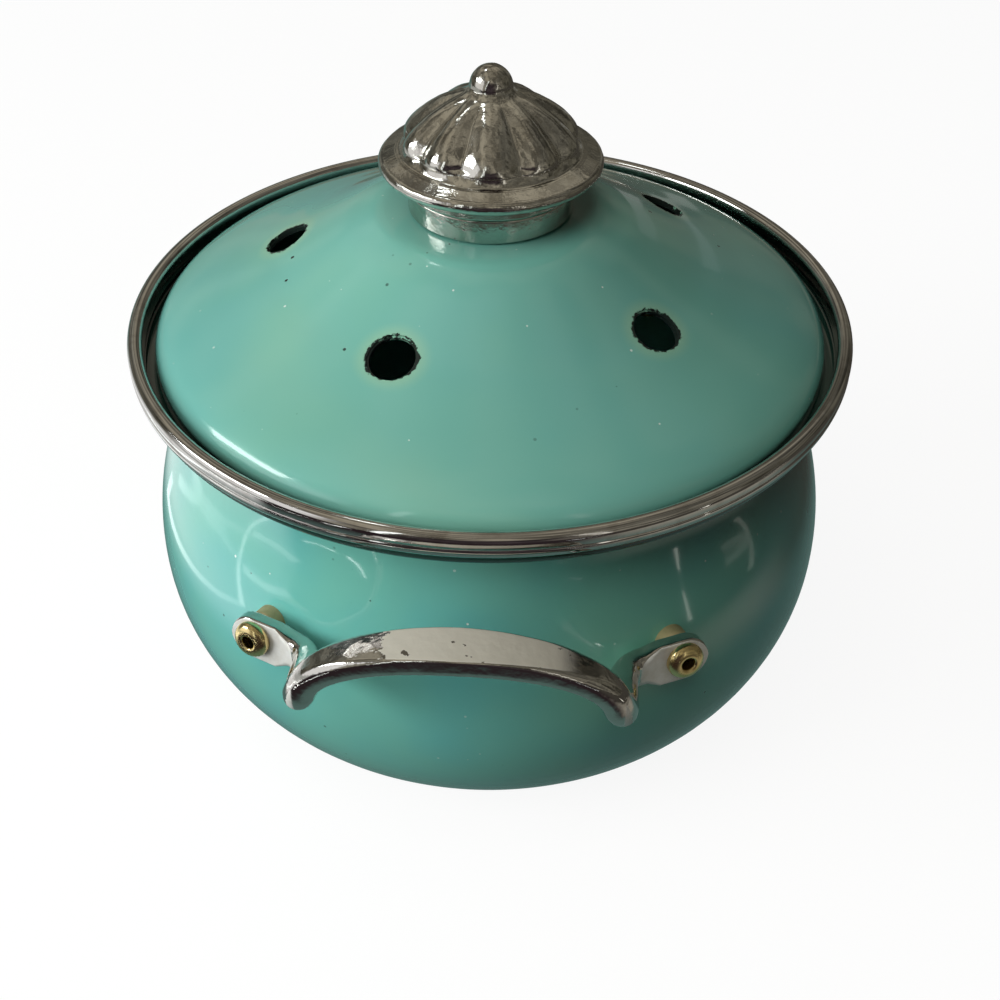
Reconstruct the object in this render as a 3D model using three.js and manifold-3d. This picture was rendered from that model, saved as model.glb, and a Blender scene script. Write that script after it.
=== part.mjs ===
// Enamelled steel pot with a lift-off lid, a cast knob and two riveted carrying handles.
// Lengths are millimetres and +Z is up. The origin is the centre of the pot's flat underside,
// and the front handle points towards -Y.
import * as THREE from 'three';
import { mergeVertices } from 'three/addons/utils/BufferGeometryUtils.js';
import Module from 'manifold-3d';

const wasm = await Module();
wasm.setup();

const QUARTER = Math.PI / 2;
const UP = new THREE.Vector3(0, 0, 1);
const radians = THREE.MathUtils.degToRad;

// Facets: how many flat sides or steps stand for each round form
const potSides = 48;
const smallSides = 12;
const wallSteps = 6;
const bendSteps = 3;
const lidSteps = 11;
const ventSides = 16;
const collarSides = 32;
const washerSides = 24;
const kneeSteps = 3;
const elbowSteps = 4;
const gripSteps = 7;

// Shared sizes
const sheet = 1.2;
const seatGap = 0.3;
const cutOverrun = 4;
const weldDistance = 0.0005;

// Pot body: a belly that draws in to a neck, flares to a ledge and ends in an upright lip
const baseRadius = 44;
const bellyRadius = 80.3;
const bellyHeight = 41.5;
const neckDraw = 9.7;
const neckRadius = bellyRadius - neckDraw;
const neckHeight = 84;
const bellyPullShare = 0.5;
const neckPullShare = 0.25;
const flareRadius = 6;
const ledgeWidth = 2.4;
const lipRadius = neckRadius + flareRadius + ledgeWidth;
const lipCorner = 2.2;
const lipRise = 7;
const ledgeUnderside = neckHeight + flareRadius;
const lipTop = ledgeUnderside + lipRise;

// Steel band rolled over the lip
const bandWall = 0.7;
const bandDrop = 4.8;
const bandOuter = lipRadius + seatGap + bandWall;
const bandInner = lipRadius - sheet - seatGap - bandWall;
const bandTop = lipTop + seatGap + bandWall;
const bandBottom = bandTop - bandDrop;

// Lid shell: its skirt stands on the ledge, and a flat boss in the middle carries the knob
const lidClearance = 2.3;
const lidRadius = bandInner - lidClearance;
const lidRise = 30.35;
const bossRadius = 22.5;
// How far the skirt stands inside the flat ledge, where the flare curves down below it
const flareOverlap = Math.max(0, neckRadius + flareRadius - lidRadius);
const seatDrop = flareRadius + sheet - Math.sqrt((flareRadius + sheet) ** 2 - flareOverlap ** 2);
const lidBottom = ledgeUnderside + sheet - seatDrop + seatGap;
const bossTop = lidBottom + lidRise;
// The lid's outer curve from skirt to boss: share of the way inwards, share of the rise
const lidCurveShares = [
  [0, 0.08], [0.008, 0.135], [0.031, 0.191], [0.072, 0.244], [0.146, 0.312], [0.243, 0.386],
  [0.359, 0.471], [0.466, 0.555], [0.565, 0.635], [0.67, 0.734], [0.767, 0.83], [0.845, 0.906],
  [0.913, 0.96], [0.96, 0.99], [1, 1],
];

// Five steam vents round the lid
const ventCount = 5;
const ventRadius = 5.1;
const ventRing = 45.4;
const ventTurn = radians(-21.5);

// Knob screw and its washer under the lid
const screwRadius = 2;
const screwHole = screwRadius + seatGap;
const screwHeadRadius = 4.2;
const screwHeadHeight = 2.4;
const screwHeadRound = 0.9;
const screwSlotWidth = 1;
const screwSlotDepth = 1.1;
const washerRadius = 6.5;
const washerThickness = 1;

// Spun collar between lid and knob
const collarRadius = 17.5;
const collarHeight = 5.1;
const collarWall = 1.2;
const collarBottom = bossTop + seatGap;
const collarTop = collarBottom + collarHeight;

// Cast knob: foot, flange with a sloping brim, fluted dome and bead
const knobBottom = collarTop + seatGap;
const knobFootRadius = 18.1;
const knobFootHeight = 2.4;
const flangeRadius = 23.4;
const flangeRise = 5.1;
const flangeRound = 1.4;
const brimRadius = 20;
const brimRise = 7.3;
const domeRadius = 18.6;
const domeBase = 8.9;
const domeTop = 19.7;
const beadRadius = 4.4;
const beadRise = 5.3;
const knobLobes = 10;
const stepsPerLobe = 6;
const grooveDepth = 1.5;
const knobTurn = radians(3.45);
const knobWall = 2.6;
const knobStemRadius = 5;
const screwBiteDepth = 9;
// The dome from its foot to the bead: share of its radius, share of its height, share of groove
const domeCurveShares = [
  [1, 0, 0.35], [0.98, 0.14, 1], [0.9, 0.34, 1], [0.77, 0.54, 0.9], [0.61, 0.73, 0.7],
  [0.43, 0.88, 0.4],
];

// Rivet stack that carries each end of a handle: where it meets the wall, and how its axis points
const rivetHeight = 59.9;
const rivetSpread = radians(31.7);
const rivetHeading = radians(24);
const rivetLean = radians(10);
const rivetRadius = 2.2;
const rivetBore = 1.4;
const rivetHole = rivetRadius + seatGap;
const rivetHeadRadius = 3.9;
const rivetHeadHeight = 2.3;
const rivetDishShare = 0.75;
const clinchRadius = 3.5;
const clinchHeight = 1;
const spacerRadius = 3.7;
const spacerLength = 2.4;
const spacerEdge = 0.5;
const burrRadius = 4.4;
const burrThickness = 0.8;

// Cast handle: flat ear, knee, round arm and elbow, and flat-topped grip
const earThickness = 3;
const earMargin = 1;
const earHalfHeight = rivetHeadRadius + earMargin;
const earDrop = 0.8;
const earTail = 0.8;
const earReach = 12.3;
const earEdge = 0.6;
// The ear's round end: shares of the quarter turn at which it has a section
const earEndShares = [0.12, 0.4, 0.7, 1];
const kneeHalfWidth = 2.4;
const kneeHalfHeight = 3.7;
const kneeEdge = 1.8;
const kneeSetBack = 0.4;
const kneeBend = 4.5;
const elbowReach = 30.6;
const elbowProud = 11.5;
const elbowOut = bellyRadius + elbowProud;
const elbowHeight = 66.4;
const elbowBend = 4;
const elbowRadius = 3.1;
// How far the arm's section has turned from the knee's into the elbow's, at its two ends
const kneeEndShare = 0.5;
const elbowStartShare = 0.85;
const gripClimb = radians(67);
const climbPullShare = 0.3;
const crownPullShare = 0.41;
const gripLead = 0.8;
const gripOut = elbowOut + gripLead;
const gripHeight = 81.7;
const gripHalfWidth = 4.5;
const gripHalfHeight = 2.5;
const gripEdge = 0.7;

// Materials, one for each piece
const ENAMEL = { color: 0x6fb3a2, roughness: 0.18, metalness: 0 };
const STEEL = { color: 0xb4b1ab, roughness: 0.16, metalness: 1 };
const CHROME = { color: 0xb9b6b0, roughness: 0.14, metalness: 1 };
const BRASS = { color: 0xb8923f, roughness: 0.3, metalness: 1 };
const ZINC = { color: 0x9fa19f, roughness: 0.35, metalness: 1 };

// One indexed, closed mesh without the flat triangles that a pole leaves
function weld(geometry) {
  const bare = geometry.clone();
  bare.deleteAttribute('normal');
  bare.deleteAttribute('uv');
  const merged = mergeVertices(bare, weldDistance);
  const corners = merged.index.array;
  const kept = [];
  for (let i = 0; i < corners.length; i += 3) {
    const [a, b, c] = [corners[i], corners[i + 1], corners[i + 2]];
    if (a !== b && b !== c && c !== a) kept.push(a, b, c);
  }
  merged.setIndex(kept);
  merged.computeVertexNormals();
  return merged;
}

function toSolid(geometry) {
  const closed = weld(geometry);
  return new wasm.Manifold(new wasm.Mesh({
    numProp: 3,
    vertProperties: new Float32Array(closed.attributes.position.array),
    triVerts: new Uint32Array(closed.index.array),
  }));
}

function toGeometry(solid) {
  const mesh = solid.getMesh();
  const geometry = new THREE.BufferGeometry();
  geometry.setAttribute('position', new THREE.BufferAttribute(mesh.vertProperties, 3));
  geometry.setIndex(new THREE.BufferAttribute(mesh.triVerts, 1));
  geometry.computeVertexNormals();
  return geometry;
}

function cut(geometry, tools) {
  let solid = toSolid(geometry);
  for (const tool of tools) solid = solid.subtract(toSolid(tool));
  return toGeometry(solid);
}

const point = (radius, height) => new THREE.Vector2(radius, height);

// Points on an elliptical arc in the radius and height plane
function arc(centre, radiusAcross, radiusUp, from, to, steps) {
  return Array.from({ length: steps + 1 }, (_, i) => {
    const angle = from + (to - from) * i / steps;
    return point(centre.x + radiusAcross * Math.cos(angle), centre.y + radiusUp * Math.sin(angle));
  });
}

// A profile turned about +Z; it starts and ends on the axis or closes on itself
function turned(profile, sides) {
  return weld(new THREE.LatheGeometry(profile, sides).rotateX(QUARTER));
}

function rod(radius, from, to, sides = smallSides) {
  return turned([point(0, from), point(radius, from), point(radius, to), point(0, to)], sides);
}

// A curve moved sideways by a distance, to the left of its direction
function offset(curve, distance) {
  return curve.map((here, i) => {
    const ahead = curve[Math.min(i + 1, curve.length - 1)];
    const behind = curve[Math.max(i - 1, 0)];
    const along = ahead.clone().sub(behind).normalize();
    return point(here.x - along.y * distance, here.y + along.x * distance);
  });
}

// The pot wall from the middle of the base to the top of the lip, set inwards by a depth
function wallProfile(depth) {
  const belly = point(bellyRadius - depth, bellyHeight);
  const neck = point(neckRadius - depth, neckHeight);
  const rise = neckHeight - bellyHeight;
  const upperWall = new THREE.CubicBezierCurve(
      belly,
      point(belly.x, belly.y + rise * bellyPullShare),
      point(neck.x, neck.y - rise * neckPullShare),
      neck);
  const flareCentre = point(neckRadius + flareRadius, neckHeight);
  const flare = flareRadius + depth;
  const cornerCentre = point(lipRadius - lipCorner, ledgeUnderside + lipCorner);
  const corner = lipCorner - depth;
  return [
    point(0, depth),
    ...arc(point(baseRadius, bellyHeight), belly.x - baseRadius, bellyHeight - depth,
        -QUARTER, 0, wallSteps),
    ...upperWall.getPoints(wallSteps).slice(1),
    ...arc(flareCentre, flare, flare, Math.PI, QUARTER, bendSteps).slice(1),
    ...arc(cornerCentre, corner, corner, -QUARTER, 0, bendSteps),
    point(lipRadius - depth, lipTop),
  ];
}

// The outer wall at a height: its radius, and how far its outward normal leans up
function wallAt(height) {
  const wall = wallProfile(0);
  const above = wall.findIndex((p) => p.y > height);
  const [low, high] = [wall[above - 1], wall[above]];
  const radius = low.x + (high.x - low.x) * (height - low.y) / (high.y - low.y);
  return { radius, lean: Math.atan2(low.x - high.x, high.y - low.y) };
}

function leaningUp(level, lean) {
  return level.clone().multiplyScalar(Math.cos(lean)).addScaledVector(UP, Math.sin(lean));
}

// The frame of a rivet: its place on the wall, its outward axis, the way along the ear, and the
// angle between the rivet's axis and the wall's normal
function rivetFrame(side) {
  const level = (angle) => new THREE.Vector3(side * Math.sin(angle), -Math.cos(angle), 0);
  const wall = wallAt(rivetHeight);
  const outwards = level(rivetHeading);
  const axis = leaningUp(outwards, rivetLean);
  const inwards = new THREE.Vector3().crossVectors(UP, outwards).multiplyScalar(-side);
  const place = level(rivetSpread).multiplyScalar(wall.radius).setZ(rivetHeight);
  const tilt = axis.angleTo(leaningUp(level(rivetSpread), wall.lean));
  return { place, axis, inwards, tilt };
}

function alongAxis(geometry, frame) {
  const turn = new THREE.Quaternion().setFromUnitVectors(UP, frame.axis);
  return geometry.clone().applyQuaternion(turn).translate(...frame.place.toArray());
}

// Distances along the rivet from the wall's outer face
const spacerStart = seatGap;
const spacerEnd = spacerStart + spacerLength;
const earStart = spacerEnd + seatGap;
const earMiddle = earStart + earThickness / 2;
const headStart = earStart + earThickness + seatGap;
// A flat burr stands off a curved wall that isn't square to the rivet, and rests on one edge
const burrStandOff = burrRadius * Math.tan(rivetFrame(1).tilt)
    + burrRadius ** 2 / (2 * wallAt(rivetHeight).radius);
const burrEnd = -(sheet + seatGap + burrStandOff);
const clinchEnd = burrEnd - burrThickness - seatGap;

function potBody() {
  const outline = [...wallProfile(0), ...wallProfile(sheet).reverse()];
  const drill = rod(rivetHole, -cutOverrun, cutOverrun);
  const holes = [];
  for (const half of [0, Math.PI]) {
    for (const side of [-1, 1]) holes.push(alongAxis(drill, rivetFrame(side)).rotateZ(half));
  }
  return cut(turned(outline, potSides), holes);
}

function rimBand() {
  const middle = (bandOuter + bandInner) / 2;
  const round = (bandOuter - bandInner) / 2;
  const crown = arc(point(middle, bandTop - round), round, round, 0, Math.PI, 2 * bendSteps);
  const outline = [
    point(bandOuter, bandBottom),
    ...crown,
    point(bandInner, bandBottom),
    point(bandInner + bandWall, bandBottom),
    point(bandInner + bandWall, bandTop - bandWall),
    point(bandOuter - bandWall, bandTop - bandWall),
    point(bandOuter - bandWall, bandBottom),
    point(bandOuter, bandBottom),
  ];
  return turned(outline, potSides);
}

function lidCurve() {
  const reach = lidRadius - bossRadius;
  const keys = lidCurveShares.map(([inShare, upShare]) =>
      point(lidRadius - reach * inShare, lidBottom + lidRise * upShare));
  return new THREE.SplineCurve(keys).getPoints(lidSteps);
}

function lidShell() {
  const top = [...lidCurve(), point(screwHole, bossTop)];
  const under = offset(top, sheet);
  const outline = [
    point(lidRadius, lidBottom),
    ...top,
    ...under.reverse(),
    point(lidRadius - sheet, lidBottom),
    point(lidRadius, lidBottom),
  ];
  const curve = lidCurve();
  const outer = curve.findLastIndex((p) => p.x > ventRing);
  const [low, high] = [curve[outer], curve[outer + 1]];
  const share = (low.x - ventRing) / (low.x - high.x);
  const ventHeight = low.y + (high.y - low.y) * share;
  const slope = Math.atan2(high.y - low.y, low.x - high.x);
  const drill = rod(ventRadius, -cutOverrun, cutOverrun, ventSides)
      .rotateY(slope).translate(ventRing, 0, ventHeight);
  const vents = Array.from({ length: ventCount }, (_, i) =>
      drill.clone().rotateZ(-QUARTER + ventTurn + i * 2 * Math.PI / ventCount));
  return cut(turned(outline, potSides), vents);
}

function knobCollar() {
  const outline = [
    point(screwHole, collarBottom),
    point(collarRadius, collarBottom),
    point(collarRadius, collarTop),
    point(collarRadius - collarWall, collarTop),
    point(collarRadius - collarWall, collarBottom + collarWall),
    point(screwHole, collarBottom + collarWall),
    point(screwHole, collarBottom),
  ];
  return turned(outline, collarSides);
}

// The knob is turned from one profile, then its dome is pinched between the lobes
function lidKnob() {
  const stemBottom = collarBottom + collarWall + seatGap;
  const flangeHeight = knobBottom + flangeRise;
  const dome = knobBottom + domeBase;
  const beadCentre = knobBottom + domeTop + beadRise - beadRadius;
  const edge = arc(point(flangeRadius - flangeRound, flangeHeight), flangeRound, flangeRound,
      -QUARTER, QUARTER, bendSteps);
  const domeCurve = domeCurveShares.map(([radiusShare, upShare]) =>
      point(domeRadius * radiusShare, dome + (domeTop - domeBase) * upShare));
  const bead = arc(point(0, beadCentre), beadRadius, beadRadius, 0, QUARTER, bendSteps);
  const hollowRadius = knobFootRadius - knobWall;
  const outline = [
    point(0, stemBottom + screwBiteDepth),
    point(screwHole, stemBottom + screwBiteDepth),
    point(screwHole, stemBottom),
    point(knobStemRadius, stemBottom),
    point(knobStemRadius, dome),
    point(hollowRadius, dome - knobWall),
    point(hollowRadius, knobBottom),
    point(knobFootRadius, knobBottom),
    point(knobFootRadius, knobBottom + knobFootHeight),
    ...edge,
    point(brimRadius, knobBottom + brimRise),
    ...domeCurve,
    ...bead,
  ];
  const firstDomePoint = outline.length - bead.length - domeCurve.length;
  const sides = knobLobes * stepsPerLobe;
  const lathe = new THREE.LatheGeometry(outline, sides);
  const place = lathe.attributes.position;
  for (let i = 0; i < place.count; i += 1) {
    const row = i % outline.length - firstDomePoint;
    const grooveShare = domeCurveShares[row]?.[2] ?? 0;
    const turn = Math.floor(i / outline.length) * 2 * Math.PI / sides;
    const pinch = 1 - Math.abs(Math.cos(turn * knobLobes / 2));
    const radius = Math.hypot(place.getX(i), place.getZ(i));
    const scale = grooveShare ? 1 - grooveDepth * grooveShare * pinch / radius : 1;
    place.setX(i, place.getX(i) * scale);
    place.setZ(i, place.getZ(i) * scale);
  }
  return weld(lathe.rotateX(QUARTER).rotateZ(knobTurn));
}

const washerTop = bossTop - sheet - seatGap;

function knobWasher() {
  const outline = [
    point(screwHole, washerTop - washerThickness),
    point(washerRadius, washerTop - washerThickness),
    point(washerRadius, washerTop),
    point(screwHole, washerTop),
    point(screwHole, washerTop - washerThickness),
  ];
  return turned(outline, washerSides);
}

function knobScrew() {
  const headTop = washerTop - washerThickness - seatGap;
  const headBottom = headTop - screwHeadHeight;
  const shankTop = collarBottom + collarWall + screwBiteDepth;
  const outline = [
    point(0, headBottom),
    ...arc(point(screwHeadRadius - screwHeadRound, headBottom + screwHeadRound),
        screwHeadRound, screwHeadRound, -QUARTER, 0, bendSteps),
    point(screwHeadRadius, headTop),
    point(screwRadius, headTop),
    point(screwRadius, shankTop),
    point(0, shankTop),
  ];
  const slot = new THREE.BoxGeometry(2 * (screwHeadRadius + cutOverrun), screwSlotWidth,
      2 * screwSlotDepth).translate(0, 0, headBottom);
  return cut(turned(outline, smallSides), [slot]);
}

// Hollow rivet: a domed head over the ear and a rolled clinch inside the pot
function rivet() {
  const headRoot = headStart + rivetHeadHeight * (1 - rivetDishShare);
  const dome = arc(point(rivetBore, headRoot), rivetHeadRadius - rivetBore,
      rivetHeadHeight * rivetDishShare, 0, QUARTER, bendSteps);
  const outline = [
    point(rivetBore, clinchEnd - clinchHeight),
    point(clinchRadius - clinchHeight / 2, clinchEnd - clinchHeight),
    point(clinchRadius, clinchEnd),
    point(rivetRadius, clinchEnd),
    point(rivetRadius, headStart),
    point(rivetHeadRadius, headStart),
    ...dome,
    point(rivetBore, clinchEnd - clinchHeight),
  ];
  return turned(outline, smallSides);
}

// The spacer's inner end follows the pot wall, with a gap to it
function rivetSpacer(frame) {
  const outline = [
    point(rivetHole, -cutOverrun),
    point(spacerRadius, -cutOverrun),
    point(spacerRadius, spacerEnd - spacerEdge),
    point(spacerRadius - spacerEdge, spacerEnd),
    point(rivetHole, spacerEnd),
    point(rivetHole, -cutOverrun),
  ];
  const wall = wallProfile(-seatGap);
  const potSpace = turned([...wall, point(0, lipTop)], potSides);
  return cut(alongAxis(turned(outline, smallSides), frame), [potSpace]);
}

function rivetBurr() {
  const outline = [
    point(rivetHole, burrEnd - burrThickness),
    point(burrRadius, burrEnd - burrThickness),
    point(burrRadius, burrEnd),
    point(rivetHole, burrEnd),
    point(rivetHole, burrEnd - burrThickness),
  ];
  return turned(outline, smallSides);
}

// A rounded section: half sizes across and up, then corner sizes above and below
const section = (across, up, topEdge, bottomEdge) => ({ across, up, topEdge, bottomEdge });
const earSection = section(earThickness / 2, earHalfHeight,
    [earEdge, earEdge], [earEdge, earEdge]);
const kneeSection = section(kneeHalfWidth, kneeHalfHeight,
    [kneeEdge, kneeEdge], [kneeEdge, kneeEdge]);
const elbowSection = section(elbowRadius, elbowRadius,
    [elbowRadius, elbowRadius], [elbowRadius, elbowRadius]);
const gripSection = section(gripHalfWidth, gripHalfHeight,
    [gripEdge, gripEdge], [gripHalfWidth / 2, gripHalfHeight]);

function blendSection(from, to, share) {
  const mix = (a, b) => a + (b - a) * share;
  return section(mix(from.across, to.across), mix(from.up, to.up),
      [mix(from.topEdge[0], to.topEdge[0]), mix(from.topEdge[1], to.topEdge[1])],
      [mix(from.bottomEdge[0], to.bottomEdge[0]), mix(from.bottomEdge[1], to.bottomEdge[1])]);
}

// The ring of points of a section, set square to the handle's line
function sectionRing(station) {
  const { place, along, up, shape } = station;
  const across = new THREE.Vector3().crossVectors(along, up).normalize();
  const upright = new THREE.Vector3().crossVectors(across, along);
  const corners = [
    [1, 1, shape.topEdge, 0], [-1, 1, shape.topEdge, QUARTER],
    [-1, -1, shape.bottomEdge, 2 * QUARTER], [1, -1, shape.bottomEdge, 3 * QUARTER],
  ];
  const ring = [];
  for (const [sideways, vertical, edge, start] of corners) {
    for (let i = 0; i < bendSteps; i += 1) {
      const angle = start + QUARTER * i / (bendSteps - 1);
      const x = sideways * (shape.across - edge[0]) + edge[0] * Math.cos(angle);
      const y = vertical * (shape.up - edge[1]) + edge[1] * Math.sin(angle);
      ring.push(place.clone().addScaledVector(across, x).addScaledVector(upright, y));
    }
  }
  return ring;
}

// A closed skin over a row of rings, with a flat cap at each end
function loft(rings) {
  const size = rings[0].length;
  const places = rings.flat().flatMap((p) => p.toArray());
  const corners = [];
  for (let r = 0; r + 1 < rings.length; r += 1) {
    for (let i = 0; i < size; i += 1) {
      const next = (i + 1) % size;
      const [a, b, c, d] = [r * size + i, r * size + next, (r + 1) * size + next, (r + 1) * size + i];
      corners.push(a, c, b, a, d, c);
    }
  }
  const last = (rings.length - 1) * size;
  for (let i = 1; i + 1 < size; i += 1) {
    corners.push(0, i, i + 1, last, last + i + 1, last + i);
  }
  const geometry = new THREE.BufferGeometry();
  geometry.setAttribute('position', new THREE.Float32BufferAttribute(places, 3));
  geometry.setIndex(corners);
  return geometry;
}

// Half of the handle's line, from the outer end of the right ear to the middle of the grip
function halfHandle() {
  const frame = rivetFrame(1);
  const earUp = new THREE.Vector3().crossVectors(frame.inwards, frame.axis).normalize();
  if (earUp.z < 0) earUp.negate();
  const earCentre = frame.place.clone().addScaledVector(frame.axis, earMiddle)
      .addScaledVector(earUp, -earDrop);
  const elbow = new THREE.Vector3(elbowReach, -elbowOut, elbowHeight);
  const knee = earCentre.clone().addScaledVector(frame.inwards, earReach)
      .addScaledVector(frame.axis, -kneeSetBack);
  const armWay = elbow.clone().sub(knee).normalize();
  const crown = new THREE.Vector3(0, -gripOut, gripHeight);
  const stations = [];
  for (const share of earEndShares) {
    const angle = share * QUARTER;
    const reach = earHalfHeight * Math.cos(angle);
    const shape = { ...earSection, up: Math.max(earHalfHeight * Math.sin(angle), earEdge) };
    const place = earCentre.clone().addScaledVector(frame.inwards, -(reach + earTail));
    stations.push({ place, along: frame.inwards, up: earUp, shape });
  }
  // The ear stays flat until it is past the rivet's head
  const seatEnd = earCentre.clone().addScaledVector(frame.inwards, rivetHeadRadius + earMargin);
  stations.push({ place: seatEnd, along: frame.inwards, up: earUp, shape: earSection });
  const kneeCurve = new THREE.QuadraticBezierCurve3(
      knee.clone().addScaledVector(frame.inwards, -kneeBend), knee,
      knee.clone().addScaledVector(armWay, kneeBend));
  const gripWay = new THREE.Vector3(-1, 0, 0);
  const climb = new THREE.Vector3(-Math.cos(gripClimb), 0, Math.sin(gripClimb));
  const elbowCurve = new THREE.QuadraticBezierCurve3(
      elbow.clone().addScaledVector(armWay, -elbowBend), elbow,
      elbow.clone().addScaledVector(climb, elbowBend));
  const gripStart = elbowCurve.v2;
  const span = gripStart.x - crown.x;
  const gripCurve = new THREE.CubicBezierCurve3(
      gripStart, gripStart.clone().addScaledVector(climb, span * climbPullShare),
      crown.clone().addScaledVector(gripWay, -span * crownPullShare), crown);
  const kneeEnd = blendSection(kneeSection, elbowSection, kneeEndShare);
  const elbowStart = blendSection(kneeSection, elbowSection, elbowStartShare);
  const legs = [
    { curve: kneeCurve, steps: kneeSteps, from: kneeSection, to: kneeEnd },
    { curve: elbowCurve, steps: elbowSteps, from: elbowStart, to: elbowSection },
    { curve: gripCurve, steps: gripSteps, from: elbowSection, to: gripSection },
  ];
  for (const { curve, steps, from, to } of legs) {
    // The grip's first section is the elbow's last one
    for (let i = curve === gripCurve ? 1 : 0; i <= steps; i += 1) {
      const share = i / steps;
      const up = curve === kneeCurve ? earUp.clone().lerp(UP, share).normalize() : UP;
      const shape = blendSection(from, to, share);
      stations.push({ place: curve.getPoint(share), along: curve.getTangent(share), up, shape });
    }
  }
  return stations;
}

// The left half mirrors the right one and runs back from the grip to the left ear
function carryingHandle() {
  const right = halfHandle();
  const mirror = (v) => new THREE.Vector3(-v.x, v.y, v.z);
  const left = right.slice(0, -1).reverse().map(({ place, along, up, shape }) => ({
    place: mirror(place), along: mirror(along).negate(), up: mirror(up), shape,
  }));
  const rings = [...right, ...left].map(sectionRing);
  const drill = rod(rivetHole, -cutOverrun, cutOverrun + earStart + earThickness);
  const holes = [-1, 1].map((side) => alongAxis(drill, rivetFrame(side)));
  return cut(loft(rings), holes);
}

function piece(name, geometry, finish) {
  const mesh = new THREE.Mesh(geometry, new THREE.MeshStandardMaterial(finish));
  mesh.name = name;
  return mesh;
}

const pot = new THREE.Group();
pot.add(piece('pot_body', potBody(), ENAMEL));
pot.add(piece('rim_band', rimBand(), STEEL));

const lid = new THREE.Group();
lid.add(piece('lid_shell', lidShell(), ENAMEL));
lid.add(piece('knob_collar', knobCollar(), CHROME));
lid.add(piece('lid_knob', lidKnob(), CHROME));
lid.add(piece('knob_screw', knobScrew(), ZINC));
lid.add(piece('knob_washer', knobWasher(), ZINC));
pot.add(lid);

for (const [end, turn] of [['front', 0], ['rear', Math.PI]]) {
  const handle = new THREE.Group();
  handle.rotation.z = turn;
  handle.add(piece(`${end}_handle`, carryingHandle(), CHROME));
  for (const [hand, side] of [['left', -1], ['right', 1]]) {
    const frame = rivetFrame(side);
    const stack = new THREE.Group();
    stack.position.copy(frame.place);
    stack.quaternion.setFromUnitVectors(UP, frame.axis);
    stack.add(piece(`${end}_${hand}_rivet`, rivet(), BRASS));
    stack.add(piece(`${end}_${hand}_burr`, rivetBurr(), BRASS));
    handle.add(stack);
    handle.add(piece(`${end}_${hand}_spacer`, rivetSpacer(frame), BRASS));
  }
  pot.add(handle);
}

export default pot;
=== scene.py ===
"""Enamelled steel pot with a lift-off lid, a fluted cast knob and riveted carrying handles.

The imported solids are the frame. Each finished piece stands for one of them: it is modelled at the
same place, in metres, and rides on the same body. The outlines follow the sizes of the solids, drawn
with finer steps, and every finish is built from nodes alone.
"""

from __future__ import annotations

import logging
import math
import random
from collections.abc import Callable, Sequence
from dataclasses import dataclass, field
from enum import Enum
from itertools import pairwise

import bmesh
import bpy
from mathutils import Euler, Matrix, Quaternion, Vector, noise


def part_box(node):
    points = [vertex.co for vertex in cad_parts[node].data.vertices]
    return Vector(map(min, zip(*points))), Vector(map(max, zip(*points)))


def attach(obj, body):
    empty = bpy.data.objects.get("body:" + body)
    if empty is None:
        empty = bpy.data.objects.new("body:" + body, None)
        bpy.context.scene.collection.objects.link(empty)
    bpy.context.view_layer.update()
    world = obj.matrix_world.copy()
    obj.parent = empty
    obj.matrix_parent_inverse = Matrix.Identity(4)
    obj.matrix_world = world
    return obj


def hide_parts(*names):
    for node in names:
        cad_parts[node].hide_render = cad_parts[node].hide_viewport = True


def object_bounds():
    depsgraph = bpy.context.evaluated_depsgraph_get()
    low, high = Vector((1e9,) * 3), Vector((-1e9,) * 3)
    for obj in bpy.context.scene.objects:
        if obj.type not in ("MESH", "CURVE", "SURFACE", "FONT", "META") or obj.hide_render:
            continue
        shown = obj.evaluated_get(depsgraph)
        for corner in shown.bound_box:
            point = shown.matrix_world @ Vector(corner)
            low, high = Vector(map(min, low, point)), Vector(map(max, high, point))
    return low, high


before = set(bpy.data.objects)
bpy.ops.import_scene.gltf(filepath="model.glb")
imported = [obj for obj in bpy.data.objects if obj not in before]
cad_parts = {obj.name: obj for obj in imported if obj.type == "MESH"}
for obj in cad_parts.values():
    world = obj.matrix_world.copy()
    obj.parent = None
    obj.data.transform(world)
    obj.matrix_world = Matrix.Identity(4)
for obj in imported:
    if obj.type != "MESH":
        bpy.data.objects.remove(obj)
CAD_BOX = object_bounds()

QUARTER = math.pi / 2
UP = Vector((0.0, 0.0, 1.0))
WELD = 0.000002
SEED_PLANE = 0.001
SHEET = 0.0012
SEAT_GAP = 0.0003

Outline = list[tuple[float, float]]
Colour = tuple[float, float, float]
Value = bpy.types.NodeSocket | float | Sequence[float]

log = logging.getLogger("pot")


class Body(Enum):
    """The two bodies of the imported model."""

    POT = "pot"
    LID = "lid"


class Slot(Enum):
    """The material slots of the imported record."""

    ENAMEL = "enamel"
    RIM_STEEL = "rim_steel"
    KNOB_CHROME = "knob_chrome"
    HANDLE_CHROME = "handle_chrome"
    RIVET_BRASS = "rivet_brass"
    ZINC_PLATE = "zinc_plate"


# Modelling steps that the pieces share


def clear_selection() -> None:
    """Leaves edit mode and deselects every object."""
    active = bpy.context.view_layer.objects.active
    if active is not None and active.mode != "OBJECT":
        bpy.ops.object.mode_set(mode="OBJECT")
    bpy.ops.object.select_all(action="DESELECT")


def work_on(piece: bpy.types.Object) -> None:
    """Makes a piece the only selected and active object.

    Args:
        piece: The object that the next operators act on.
    """
    clear_selection()
    piece.select_set(True)
    bpy.context.view_layer.objects.active = piece


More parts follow.
